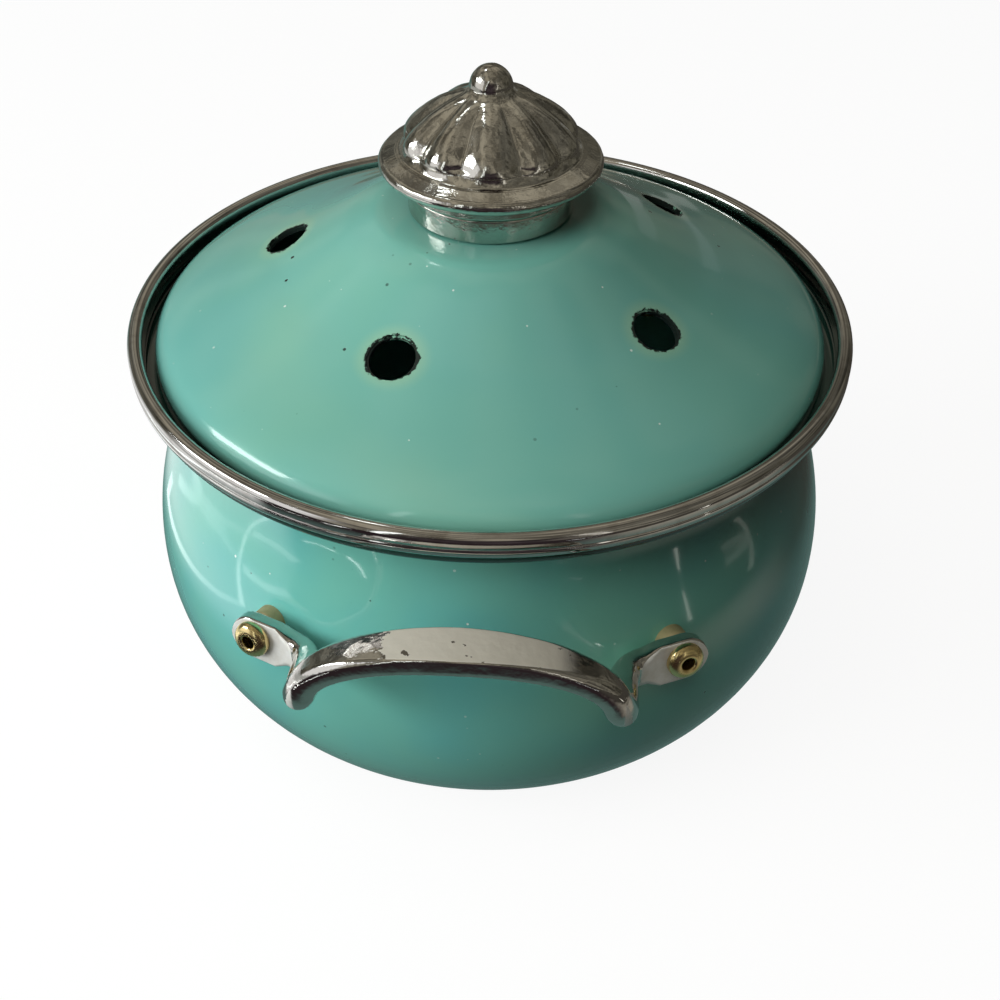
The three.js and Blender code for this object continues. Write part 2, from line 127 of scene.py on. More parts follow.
def arc(centre: tuple[float, float], across: float, up: float, start: float, end: float,
        steps: int) -> Outline:
    """Points on an elliptical arc in the plane of radius and height.

    Args:
        centre: The arc's centre as radius and height.
        across: Its radius across.
        up: Its radius upwards.
        start: The first angle, in radians.
        end: The last angle.
        steps: How many straight steps stand for the arc.

    Returns:
        The points from the first angle to the last.
    """
    angles = (start + (end - start) * i / steps for i in range(steps + 1))
    return [(centre[0] + across * math.cos(a), centre[1] + up * math.sin(a)) for a in angles]


def bezier(points: Sequence[Sequence[float]], share: float) -> Vector:
    """A point on a Bezier curve of any degree.

    Args:
        points: The control points.
        share: How far along the curve, from 0 to 1.

    Returns:
        The point.
    """
    row = [Vector(p) for p in points]
    while len(row) > 1:
        row = [a.lerp(b, share) for a, b in pairwise(row)]
    return row[0]


def smooth_curve(keys: Outline, steps: int) -> Outline:
    """A Catmull-Rom curve through the keys, with evenly spread parameters.

    Args:
        keys: The points that the curve passes through.
        steps: How many straight steps stand for it.

    Returns:
        The points of the curve, both ends included.
    """
    spans = len(keys) - 1
    curve = []
    for i in range(steps + 1):
        at = spans * i / steps
        span = min(int(at), spans - 1)
        t = at - span
        p0, p1, p2, p3 = (keys[min(max(span + k, 0), spans)] for k in (-1, 0, 1, 2))
        curve.append(tuple(
            0.5 * (2 * b + (c - a) * t + (2 * a - 5 * b + 4 * c - d) * t**2
                   + (3 * b - a - 3 * c + d) * t**3)
            for a, b, c, d in zip(p0, p1, p2, p3)))
    return curve


def set_in(outline: Outline, distance: float) -> Outline:
    """An outline moved sideways, to the left of its direction.

    Args:
        outline: The points of the outline.
        distance: How far it moves.

    Returns:
        The moved points.
    """
    moved = []
    last = len(outline) - 1
    for i, here in enumerate(outline):
        along = Vector(outline[min(i + 1, last)]) - Vector(outline[max(i - 1, 0)])
        along.normalize()
        moved.append((here[0] - along.y * distance, here[1] + along.x * distance))
    return moved


def turned(name: str, outline: Outline, sides: int) -> bpy.types.Object:
    """Spins an outline about the pot's axis into a closed body.

    Args:
        name: The new object's name.
        outline: Points as radius and height, from axis to axis or closed on themselves.
        sides: How many steps the turn has.

    Returns:
        The new object, at the origin.
    """
    clear_selection()
    start = outline[0]
    bpy.ops.mesh.primitive_plane_add(size=SEED_PLANE, location=(start[0], 0, start[1]))
    piece = bpy.context.object
    piece.name = name
    bpy.ops.object.transform_apply(location=True, rotation=False, scale=False)
    bpy.ops.object.mode_set(mode="EDIT")
    bpy.ops.mesh.merge(type="CENTER")
    for here, there in pairwise(outline):
        step = (there[0] - here[0], 0, there[1] - here[1])
        bpy.ops.mesh.extrude_region_move(TRANSFORM_OT_translate={"value": step})
    bpy.ops.mesh.select_all(action="SELECT")
    bpy.ops.mesh.spin(steps=sides, angle=math.tau, center=(0, 0, 0), axis=(0, 0, 1))
    bpy.ops.mesh.select_all(action="SELECT")
    bpy.ops.mesh.remove_doubles(threshold=WELD)
    bpy.ops.mesh.normals_make_consistent(inside=False)
    bpy.ops.object.mode_set(mode="OBJECT")
    return piece


def lofted(name: str, rings: Sequence[Sequence[Vector]]) -> bpy.types.Object:
    """Bridges a row of rings into a closed body with filled ends.

    Args:
        name: The new object's name.
        rings: The rings of the body, each with the same number of points.

    Returns:
        The new object, at the origin.
    """
    clear_selection()
    count = len(rings[0])
    bpy.ops.mesh.primitive_circle_add(vertices=count, radius=SEED_PLANE, location=(0, 0, 0))
    piece = bpy.context.object
    piece.name = name
    bpy.ops.object.mode_set(mode="EDIT")
    for i, ring in enumerate(rings):
        if i:
            bpy.ops.mesh.primitive_circle_add(vertices=count, radius=SEED_PLANE, location=(0, 0, 0))
        mesh = bmesh.from_edit_mesh(piece.data)
        mesh.verts.ensure_lookup_table()
        for vertex, place in zip(mesh.verts[-count:], ring):
            vertex.co = place
        bmesh.update_edit_mesh(piece.data)
    bpy.ops.mesh.select_all(action="SELECT")
    bpy.ops.mesh.bridge_edge_loops()
    bpy.ops.mesh.select_all(action="SELECT")
    bpy.ops.mesh.fill_holes(sides=0)
    bpy.ops.mesh.select_all(action="SELECT")
    bpy.ops.mesh.normals_make_consistent(inside=False)
    bpy.ops.object.mode_set(mode="OBJECT")
    return piece


def rod(name: str, radius: float, low: float, high: float, sides: int) -> bpy.types.Object:
    """A plain rod on the pot's axis, used to drill holes.

    Args:
        name: The new object's name.
        radius: The rod's radius.
        low: The height of its lower end.
        high: The height of its upper end.
        sides: How many sides it has.

    Returns:
        The new object.
    """
    return turned(name, [(0, low), (radius, low), (radius, high), (0, high)], sides)


def placed(piece: bpy.types.Object, place: Matrix) -> bpy.types.Object:
    """Moves a piece's mesh to its place and leaves the object at the origin.

    Args:
        piece: The object to move.
        place: Where it goes.

    Returns:
        The same object.
    """
    work_on(piece)
    piece.matrix_world = place
    bpy.ops.object.transform_apply(location=True, rotation=True, scale=True)
    return piece


def copied(piece: bpy.types.Object, name: str) -> bpy.types.Object:
    """A copy of a piece with a mesh of its own.

    Args:
        piece: The object to copy.
        name: The copy's name.

    Returns:
        The copy.
    """
    work_on(piece)
    bpy.ops.object.duplicate(linked=False)
    double = bpy.context.object
    double.name = name
    return double


def apply_modifier(piece: bpy.types.Object, kind: str, **settings: object) -> None:
    """Adds a modifier to a piece and applies it.

    Args:
        piece: The object to change.
        kind: The modifier's type.
        **settings: The modifier's settings.
    """
    work_on(piece)
    modifier = piece.modifiers.new(kind.lower(), kind)
    for key, value in settings.items():
        setattr(modifier, key, value)
    bpy.ops.object.modifier_apply(modifier=modifier.name)


def cut(piece: bpy.types.Object, tools: Sequence[bpy.types.Object]) -> None:
    """Cuts tools out of a piece and removes them.

    Args:
        piece: The object to cut.
        tools: The objects whose space is taken out.
    """
    for tool in tools:
        apply_modifier(piece, "BOOLEAN", object=tool, operation="DIFFERENCE", solver="EXACT")
        bpy.data.objects.remove(tool)


def reshape(piece: bpy.types.Object, rule: Callable[[Vector], Vector]) -> None:
    """Moves every vertex of a piece by a formula.

    Args:
        piece: The object to change.
        rule: Gives a vertex's new place for its old one.
    """
    for vertex in piece.data.vertices:
        vertex.co = rule(vertex.co)
    piece.data.update()


def waved(amount: float, reach: float, seed: Vector) -> Callable[[Vector], Vector]:
    """A formula for the slight waves of pressed or cast metal.

    Args:
        amount: How far a point moves at most.
        reach: The length of a wave.
        seed: Where in the noise the piece starts.

    Returns:
        A rule for reshape.
    """
    return lambda place: place + noise.noise_vector(place / reach + seed) * amount


def finished(piece: bpy.types.Object, node: str, body: Body, slot: Slot,
             material: bpy.types.Material, crease: float) -> bpy.types.Object:
    """Shades and dresses a piece, and lets it stand for its node.

    Args:
        piece: The modelled object.
        node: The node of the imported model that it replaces.
        body: The body that it rides on.
        slot: The record's material slot.
        material: Its finish.
        crease: The angle above which an edge stays sharp, in radians.

    Returns:
        The same object.
    """
    work_on(piece)
    bpy.ops.object.shade_smooth_by_angle(angle=crease)
    if slot is not Slot.ENAMEL:
        apply_modifier(piece, "WEIGHTED_NORMAL", keep_sharp=True)
    piece.name = f"finished_{node}"
    piece.data.materials.clear()
    piece.data.materials.append(material)
    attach(piece, body.value)
    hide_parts(node)
    log.info("%s: %d faces on body %s", piece.name, len(piece.data.polygons), body.value)
    return piece


# Node trees


class NodeDesk:
    """Adds nodes to one tree and wires them."""

    def __init__(self, tree: bpy.types.NodeTree) -> None:
        """Keeps the tree that nodes are added to.

        Args:
            tree: A material's, world's or group's node tree.
        """
        self.tree = tree

    def add(self, kind: str, **settings: object) -> bpy.types.Node:
        """Adds a node.

        Args:
            kind: The node's type.
            **settings: Properties of the node.

        Returns:
            The new node.
        """
        node = self.tree.nodes.new(kind)
        for key, value in settings.items():
            setattr(node, key, value)
        return node

    def feed(self, socket: bpy.types.NodeSocket, value: Value) -> None:
        """Links a socket to an input, or types a constant there.

        Args:
            socket: The input.
            value: An output socket or a constant.
        """
        if isinstance(value, bpy.types.NodeSocket):
            self.tree.links.new(value, socket)
        elif isinstance(value, tuple) and len(value) == 3 and socket.type == "RGBA":
            socket.default_value = (*value, 1.0)
        else:
            socket.default_value = value

    def math(self, operation: str, *values: Value, clamp: bool = False) -> bpy.types.NodeSocket:
        """A Math node.

        Args:
            operation: What it works out.
            *values: Its inputs.
            clamp: Whether the result is kept from 0 to 1.

        Returns:
            Its result.
        """
        node = self.add("ShaderNodeMath", operation=operation, use_clamp=clamp)
        for socket, value in zip(node.inputs, values):
            self.feed(socket, value)
        return node.outputs[0]

    def mix(self, share: Value, first: Value, second: Value) -> bpy.types.NodeSocket:
        """A colour between two colours.

        Args:
            share: 0 for the first colour and 1 for the second.
            first: The first colour.
            second: The second colour.

        Returns:
            The mixed colour.
        """
        node = self.add("ShaderNodeMix", data_type="RGBA")
        self.feed(node.inputs[0], share)
        self.feed(node.inputs[6], first)
        self.feed(node.inputs[7], second)
        return node.outputs[2]

    def ramp(self, value: Value, low: float, high: float, first: float = 0.0,
             second: float = 1.0) -> bpy.types.NodeSocket:
        """A smooth step from one value to another.

        Args:
            value: What is looked at.
            low: Where the step starts.
            high: Where it ends.
            first: The result below the step.
            second: The result above it.

        Returns:
            The stepped value.
        """
        node = self.add("ShaderNodeMapRange", interpolation_type="SMOOTHSTEP")
        for name, given in (("Value", value), ("From Min", low), ("From Max", high),
                            ("To Min", first), ("To Max", second)):
            self.feed(node.inputs[name], given)
        return node.outputs["Result"]

    def noise(self, place: Value, scale: float, detail: float = 2.0,
              roughness: float = 0.5) -> bpy.types.NodeSocket:
        """A noise value from 0 to 1.

        Args:
            place: The coordinates.
            scale: Waves per metre.
            detail: How many finer layers it has.
            roughness: How strong those are.

        Returns:
            The value.
        """
        node = self.add("ShaderNodeTexNoise")
        self.feed(node.inputs["Vector"], place)
        node.inputs["Scale"].default_value = scale
        node.inputs["Detail"].default_value = detail
        node.inputs["Roughness"].default_value = roughness
        return node.outputs["Fac"]

    def group(self, tree: bpy.types.NodeTree, **values: Value) -> bpy.types.Node:
        """Places a shared group.

        Args:
            tree: The group's tree.
            **values: Its inputs by name, with _ for a space.

        Returns:
            The group node.
        """
        node = self.add("ShaderNodeGroup", node_tree=tree)
        for name, value in values.items():
            self.feed(node.inputs[name.replace("_", " ")], value)
        return node


def new_group(name: str, inputs: Sequence[tuple[str, str, float]],
              outputs: Sequence[str]) -> tuple[NodeDesk, bpy.types.Node, bpy.types.Node]:
    """An empty node group with named sockets.

    Args:
        name: The group's name.
        inputs: Each input's name, kind and starting value.
        outputs: The names of its number outputs.

    Returns:
        The desk for the group's tree, its input node and its output node.
    """
    tree = bpy.data.node_groups.new(name, "ShaderNodeTree")
    for label, kind, start in inputs:
        socket = tree.interface.new_socket(label, in_out="INPUT", socket_type=kind)
        if kind == "NodeSocketFloat":
            socket.default_value = start
    for label in outputs:
        tree.interface.new_socket(label, in_out="OUTPUT", socket_type="NodeSocketFloat")
    desk = NodeDesk(tree)
    return desk, desk.add("NodeGroupInput"), desk.add("NodeGroupOutput")


PLACE = ("Place", "NodeSocketVector", 0.0)


@dataclass
class SharedEffects:
    """Node groups that more than one finish uses."""

    specks: bpy.types.NodeTree = field(init=False)
    waves: bpy.types.NodeTree = field(init=False)
    smudges: bpy.types.NodeTree = field(init=False)
    scratches: bpy.types.NodeTree = field(init=False)

    def __post_init__(self) -> None:
        """Builds each group once."""
        self.specks = self.build_specks()
        self.waves = self.build_waves()
        self.smudges = self.build_smudges()
        self.scratches = self.build_scratches()

    @staticmethod
    def build_specks() -> bpy.types.NodeTree:
        """Scattered small spots.

        Returns:
            A group that puts out a mask of the spots.
        """
        desk, given, result = new_group(
            "scattered specks",
            [PLACE, ("Scale", "NodeSocketFloat", 300.0), ("Share", "NodeSocketFloat", 0.1),
             ("Radius", "NodeSocketFloat", 0.2)],
            ["Mask"])
        cells = desk.add("ShaderNodeTexVoronoi")
        desk.feed(cells.inputs["Vector"], given.outputs["Place"])
        desk.feed(cells.inputs["Scale"], given.outputs["Scale"])
        apart = desk.add("ShaderNodeSeparateColor")
        desk.feed(apart.inputs[0], cells.outputs["Color"])
        chosen = desk.math("LESS_THAN", apart.outputs[0], given.outputs["Share"])
        size = desk.math("MULTIPLY", given.outputs["Radius"], apart.outputs[1])
        inside = desk.math("SUBTRACT", size, cells.outputs["Distance"])
        edge = desk.math("DIVIDE", inside, given.outputs["Radius"])
        shape = desk.ramp(edge, 0.0, 0.3)
        desk.feed(result.inputs["Mask"], desk.math("MULTIPLY", shape, chosen))
        return desk.tree

    @staticmethod
    def build_waves() -> bpy.types.NodeTree:
        """Low waves with a finer layer on them.

        Returns:
            A group that puts out a height.
        """
        desk, given, result = new_group(
            "low waves",
            [PLACE, ("Broad", "NodeSocketFloat", 60.0), ("Fine", "NodeSocketFloat", 500.0),
             ("Fine Share", "NodeSocketFloat", 0.2)],
            ["Height"])
        layers = []
        for label in ("Broad", "Fine"):
            layer = desk.add("ShaderNodeTexNoise")
            desk.feed(layer.inputs["Vector"], given.outputs["Place"])
            desk.feed(layer.inputs["Scale"], given.outputs[label])
            layer.inputs["Detail"].default_value = 2.0
            layers.append(layer.outputs["Fac"])
        fine = desk.math("MULTIPLY", layers[1], given.outputs["Fine Share"])
        desk.feed(result.inputs["Height"], desk.math("ADD", layers[0], fine))
        return desk.tree

    @staticmethod
    def build_smudges() -> bpy.types.NodeTree:
        """Handled patches that turn a gloss dull.

        Returns:
            A group that puts out a roughness between two values.
        """
        desk, given, result = new_group(
            "smudges",
            [PLACE, ("Scale", "NodeSocketFloat", 40.0), ("Clean", "NodeSocketFloat", 0.1),
             ("Dull", "NodeSocketFloat", 0.3)],
            ["Roughness"])
        layer = desk.add("ShaderNodeTexNoise")
        desk.feed(layer.inputs["Vector"], given.outputs["Place"])
        desk.feed(layer.inputs["Scale"], given.outputs["Scale"])
        layer.inputs["Detail"].default_value = 5.0
        patch = desk.ramp(layer.outputs["Fac"], 0.42, 0.75)
        spread = desk.math("SUBTRACT", given.outputs["Dull"], given.outputs["Clean"])
        desk.feed(result.inputs["Roughness"],
                  desk.math("MULTIPLY_ADD", patch, spread, given.outputs["Clean"]))
        return desk.tree

    @staticmethod
    def build_scratches() -> bpy.types.NodeTree:
        """Fine scratches that run across each other.

        Returns:
            A group that puts out a mask of the scratches.
        """
        desk, given, result = new_group(
            "fine scratches",
            [PLACE, ("Scale", "NodeSocketFloat", 200.0), ("Width", "NodeSocketFloat", 0.02)],
            ["Mask"])
        masks = []
        for turn in (0.3, 1.9):
            mapping = desk.add("ShaderNodeMapping")
            desk.feed(mapping.inputs["Vector"], given.outputs["Place"])
            mapping.inputs["Rotation"].default_value = (turn, turn / 2, turn)
            mapping.inputs["Scale"].default_value = (1.0, 0.06, 1.0)
            layer = desk.add("ShaderNodeTexNoise")
            desk.feed(layer.inputs["Vector"], mapping.outputs["Vector"])
            desk.feed(layer.inputs["Scale"], given.outputs["Scale"])
            layer.inputs["Detail"].default_value = 1.0
            off = desk.math("ABSOLUTE", desk.math("SUBTRACT", layer.outputs["Fac"], 0.5))
            near = desk.math("SUBTRACT", given.outputs["Width"], off)
            masks.append(desk.ramp(near, 0.0, 0.01))
        desk.feed(result.inputs["Mask"], desk.math("MAXIMUM", *masks))
        return desk.tree


def start_material(name: str) -> tuple[bpy.types.Material, NodeDesk, bpy.types.Node, Value]:
    """A material with its shader and Object coordinates.

    Args:
        name: The material's name.

    Returns:
        The material, the desk for its tree, its Principled BSDF and the coordinates.
    """
    material = bpy.data.materials.new(name)
    material.use_nodes = True
    desk = NodeDesk(material.node_tree)
    shader = next(n for n in material.node_tree.nodes if n.type == "BSDF_PRINCIPLED")
    place = desk.add("ShaderNodeTexCoord").outputs["Object"]
    return material, desk, shader, place


def add_bump(desk: NodeDesk, shader: bpy.types.Node, height: Value, depth: float) -> None:
    """Feeds a height to the shader's normal.

    Args:
        desk: The desk of the material's tree.
        shader: The Principled BSDF.
        height: The height from 0 to 1.
        depth: How deep the height's whole range is, in metres.
    """
    bump = desk.add("ShaderNodeBump")
    bump.inputs["Strength"].default_value = 1.0
    bump.inputs["Distance"].default_value = depth
    desk.feed(bump.inputs["Height"], height)
    desk.feed(shader.inputs["Normal"], bump.outputs["Normal"])


# Finishes


@dataclass(frozen=True)
class VentRing:
    """Where the lid's steam vents are, for the pattern round their edges."""

    count: int = 5
    ring: float = 0.0454
    radius: float = 0.0051
    turn: float = math.radians(-21.5) - QUARTER
    slope: float = math.radians(35)

    def distance(self, desk: NodeDesk, place: Value) -> bpy.types.NodeSocket:
        """The distance along the surface from the nearest vent's middle.

        Args:
            desk: The desk of the material's tree.
            place: Object coordinates.

        Returns:
            The distance in metres.
        """
        apart = desk.add("ShaderNodeSeparateXYZ")
        desk.feed(apart.inputs[0], place)
        x, y = apart.outputs[0], apart.outputs[1]
        radius = desk.math("SQRT", desk.math("ADD", desk.math("MULTIPLY", x, x),
                                             desk.math("MULTIPLY", y, y)))
        angle = desk.math("SUBTRACT", desk.math("ARCTAN2", y, x), self.turn)
        sector = math.tau / self.count
        near = desk.math("WRAP", angle, sector / 2, -sector / 2)
        along = desk.math("SUBTRACT", desk.math("MULTIPLY", radius, desk.math("COSINE", near)),
                          self.ring)
        slant = desk.math("MULTIPLY", along, 1 / math.cos(self.slope))
        aside = desk.math("MULTIPLY", radius, desk.math("SINE", near))
        return desk.math("SQRT", desk.math("ADD", desk.math("MULTIPLY", slant, slant),
                                           desk.math("MULTIPLY", aside, aside)))


@dataclass(frozen=True)
class Enamel:
    """Glossy mint-green vitreous enamel on steel."""

    mint: Colour = (0.158, 0.475, 0.387)
    cool: Colour = (0.125, 0.44, 0.405)
    warm: Colour = (0.185, 0.48, 0.35)
    halo: Colour = (0.36, 0.56, 0.34)
    ground_coat: Colour = (0.012, 0.02, 0.017)
    # Painted shade: the dark colour of the seat, for the shaded gap between lid and rim
    seat_painted_shade: Colour = (0.012, 0.04, 0.03)
    # Heights where the enamel turns to a painted shade on the seat, for the dark gap between lid and
    # rim
    painted_shade_levels: tuple[float, float] = (0.0890, 0.0900)
    pale_speck: Colour = (0.62, 0.76, 0.70)
    clean: float = 0.09
    dull: float = 0.2
    coat: float = 0.6
    coat_roughness: float = 0.05
    peel_depth: float = 0.00004

    def build(self, name: str, effects: SharedEffects,
              vents: VentRing | None = None) -> bpy.types.Material:
        """Makes the material.

        Args:
            name: The material's name.
            effects: The shared node groups.
            vents: The vents whose edges are chipped, if there are any.

        Returns:
            The material.
        """
        material, desk, shader, place = start_material(name)
        colour = desk.mix(desk.ramp(desk.noise(place, 26.0, 3.0), 0.35, 0.7), self.mint, self.cool)
        colour = desk.mix(desk.ramp(desk.noise(place, 17.0, 2.0, 0.4), 0.5, 0.8), colour, self.warm)
        clusters = desk.ramp(desk.noise(place, 48.0, 2.0), 0.46, 0.56, 0.35, 1.0)
        pits = desk.group(effects.specks, Place=place, Scale=260.0, Share=0.22,
                          Radius=0.14).outputs["Mask"]
        pits = desk.math("MULTIPLY", pits, clusters)
        pale = desk.group(effects.specks, Place=place, Scale=340.0, Share=0.2,
                          Radius=0.13).outputs["Mask"]
        pale = desk.math("MULTIPLY", pale, clusters)
        colour = desk.mix(pale, colour, self.pale_speck)
        colour = desk.mix(pits, colour, self.ground_coat)
        height = desk.group(effects.waves, Place=place, Broad=95.0, Fine=620.0,
                            Fine_Share=0.05).outputs["Height"]
        height = desk.math("MULTIPLY_ADD", desk.math("MAXIMUM", pits, pale), -1.6, height)
        rough = desk.group(effects.smudges, Place=place, Scale=38.0, Clean=self.clean,
                           Dull=self.dull).outputs["Roughness"]
        level = desk.add("ShaderNodeSeparateXYZ")
        desk.feed(level.inputs[0], place)
        # Painted shade on the seat: the pot above these heights, and the lid below them, darken for the
        # gap between lid and rim
        gap_shade_mask = desk.ramp(level.outputs[2], *self.painted_shade_levels)
        if vents is not None:
            gap_shade_mask = desk.math("SUBTRACT", 1.0, gap_shade_mask)
            away = vents.distance(desk, place)
            chance = desk.math("SUBTRACT", desk.noise(place, 760.0, 4.0, 0.7), 0.5)
            ragged = desk.math("MULTIPLY_ADD", chance, -0.0026, away)
            stain = desk.ramp(away, vents.radius * 1.05, vents.radius * 1.75, 0.4, 0.0)
            colour = desk.mix(stain, colour, self.halo)
            chip = desk.ramp(ragged, vents.radius + 0.00042, vents.radius + 0.00054, 1.0, 0.0)
            colour = desk.mix(chip, colour, self.ground_coat)
            height = desk.math("MULTIPLY_ADD", chip, -3.0, height)
            rough = desk.math("MULTIPLY_ADD", chip, 0.15, rough)
            bare = desk.math("MULTIPLY_ADD", chip, -self.coat, self.coat)
            desk.feed(shader.inputs["Coat Weight"], bare)
        # Mixes in the painted shade of the gap between lid and rim
        colour = desk.mix(gap_shade_mask, colour, self.seat_painted_shade)
        desk.feed(shader.inputs["Base Color"], colour)
        desk.feed(shader.inputs["Roughness"], rough)
        shader.inputs["Coat Weight"].default_value = self.coat
        shader.inputs["Coat Roughness"].default_value = self.coat_roughness
        add_bump(desk, shader, height, self.peel_depth)
        return material


@dataclass(frozen=True)
class BrightMetal:
    """Polished, plated or turned metal with slight waves, smudges and scratches."""

    colour: Colour
    tarnish: Colour
    clean: float
    dull: float
    broad: float = 120.0
    fine: float = 900.0
    fine_share: float = 0.1
    depth: float = 0.00003
    metallic: float = 1.0

    def build(self, name: str, effects: SharedEffects) -> bpy.types.Material:
        """Makes the material.

        Args:
            name: The material's name.
            effects: The shared node groups.

        Returns:
            The material.
        """
        material, desk, shader, place = start_material(name)
        self.dress(desk, shader, place, effects)
        return material

    def dress(self, desk: NodeDesk, shader: bpy.types.Node, place: Value,
              effects: SharedEffects) -> tuple[Value, Value]:
        """Feeds the metal's colour, roughness and bump to a shader.

        Args:
            desk: The desk of the material's tree.
            shader: The Principled BSDF.
            place: Object coordinates.
            effects: The shared node groups.

        Returns:
            The colour and the roughness.
        """
        patch = desk.ramp(desk.noise(place, 210.0, 5.0, 0.6), 0.45, 0.8)
        colour = desk.mix(patch, self.colour, self.tarnish)
        rough = desk.group(effects.smudges, Place=place, Scale=160.0, Clean=self.clean,
                           Dull=self.dull).outputs["Roughness"]
        scratch = desk.group(effects.scratches, Place=place, Scale=260.0,
                             Width=0.004).outputs["Mask"]
        rough = desk.math("MULTIPLY_ADD", scratch, 0.12, rough)
        height = desk.group(effects.waves, Place=place, Broad=self.broad, Fine=self.fine,
                            Fine_Share=self.fine_share).outputs["Height"]
        shader.inputs["Metallic"].default_value = self.metallic
        desk.feed(shader.inputs["Base Color"], colour)
        desk.feed(shader.inputs["Roughness"], rough)
        add_bump(desk, shader, height, self.depth)
        return colour, rough


@dataclass(frozen=True)
class WornChrome(BrightMetal):
    """Chrome plate that hands have worn to a matt grey-beige on top of the grip, with a near-white
    painted reflection of the pale floor on the matt ear faces.
    """

    worn: Colour = (0.60, 0.565, 0.48)
    worn_metallic: float = 0.2
    worn_roughness: float = 0.45
    worn_from: float = -0.0138
    worn_to: float = 0.0245
    raggedness: float = 0.0035
    # Near-white painted reflection of the pale floor on the ear faces, which are also matt
    ear: Colour = (0.95, 0.96, 0.95)
    ear_metallic: float = 0.3
    ear_roughness: float = 0.42
    ear_starts: float = 0.0305

    def build(self, name: str, effects: SharedEffects) -> bpy.types.Material:
        """Makes the material.

        Args:
            name: The material's name.
            effects: The shared node groups.

        Returns:
            The material.
        """
        material, desk, shader, place = start_material(name)
        colour, rough = self.dress(desk, shader, place, effects)
        apart = desk.add("ShaderNodeSeparateXYZ")
        desk.feed(apart.inputs[0], place)
        normal = desk.add("ShaderNodeSeparateXYZ")
        desk.feed(normal.inputs[0], desk.add("ShaderNodeNewGeometry").outputs["Normal"])
        top = desk.ramp(normal.outputs[2], 0.9, 0.96)
        edge = desk.math("SUBTRACT", desk.noise(place, 520.0, 4.0, 0.65), 0.5)
        along = desk.math("MULTIPLY_ADD", edge, 2 * self.raggedness, apart.outputs[0])
        begun = desk.ramp(along, self.worn_from, self.worn_from + 0.0004)
        ended = desk.ramp(along, self.worn_to, self.worn_to + 0.0008, 1.0, 0.0)
        left = desk.ramp(desk.noise(place, 330.0, 3.0, 0.6), 0.66, 0.7, 1.0, 0.0)
        worn = desk.math("MULTIPLY", desk.math("MULTIPLY", top, begun),
                         desk.math("MULTIPLY", ended, left))
        aside = desk.math("ABSOLUTE", apart.outputs[0])
        facing = desk.math("ABSOLUTE", normal.outputs[1])
        ear = desk.math("MULTIPLY", desk.ramp(aside, self.ear_starts, self.ear_starts + 0.0006),
                        desk.ramp(facing, 0.62, 0.70))
        # The ear faces get the near-white painted reflection of the pale floor, scuffed with the worn
        # colour
        painted_ear_reflection = desk.mix(desk.noise(place, 380.0, 4.0, 0.6), self.ear, self.worn)
        colour = desk.mix(ear, desk.mix(worn, colour, self.worn), painted_ear_reflection)
        desk.feed(shader.inputs["Base Color"], colour)
        metallic = desk.math("MULTIPLY_ADD", worn, self.worn_metallic - 1.0, 1.0)
        desk.feed(shader.inputs["Metallic"],
                  desk.math("MULTIPLY_ADD", ear, self.ear_metallic - 1.0, metallic))
        for mask, value in ((worn, self.worn_roughness), (ear, self.ear_roughness)):
            rough = desk.math("MULTIPLY_ADD", desk.math("SUBTRACT", value, rough), mask, rough)
        desk.feed(shader.inputs["Roughness"], rough)
        return material


@dataclass
class Finishes:
    """Every material of the object."""

    pot_enamel: bpy.types.Material = field(init=False)
    lid_enamel: bpy.types.Material = field(init=False)
    rim_steel: bpy.types.Material = field(init=False)
    knob_chrome: bpy.types.Material = field(init=False)
    handle_chrome: bpy.types.Material = field(init=False)
    rivet_brass: bpy.types.Material = field(init=False)
    spacer_brass: bpy.types.Material = field(init=False)
    zinc_plate: bpy.types.Material = field(init=False)

    def __post_init__(self) -> None:
        """Builds the shared groups and then each material."""
        effects = SharedEffects()
        self.pot_enamel = Enamel().build("mint enamel", effects)
        self.lid_enamel = Enamel(
            mint=(0.173, 0.45, 0.37), cool=(0.157, 0.435, 0.382), warm=(0.21, 0.468, 0.34),
            painted_shade_levels=(0.0936, 0.0950)).build("mint enamel with vents", effects, VentRing())
        self.rim_steel = BrightMetal(
            (0.62, 0.60, 0.58), (0.46, 0.43, 0.40), 0.06, 0.2).build("polished steel", effects)
        self.knob_chrome = BrightMetal(
            (0.62, 0.60, 0.56), (0.48, 0.45, 0.40), 0.09, 0.22, broad=300.0, fine=1400.0,
            fine_share=0.3, depth=0.00013).build("cast chrome", effects)
        self.handle_chrome = WornChrome(
            (0.62, 0.60, 0.57), (0.50, 0.47, 0.43), 0.06, 0.18, broad=420.0, fine_share=0.2,
            depth=0.00011).build("worn chrome", effects)
        self.rivet_brass = BrightMetal(
            (0.88, 0.72, 0.36), (0.66, 0.49, 0.20), 0.2, 0.36).build("turned brass", effects)
        self.spacer_brass = BrightMetal(
            (0.44, 0.36, 0.19), (0.30, 0.24, 0.12), 0.45, 0.6, metallic=0.35).build(
                "dull brass", effects)
        self.zinc_plate = BrightMetal(
            (0.46, 0.47, 0.46), (0.33, 0.34, 0.33), 0.28, 0.45).build("zinc plate", effects)


# The pot


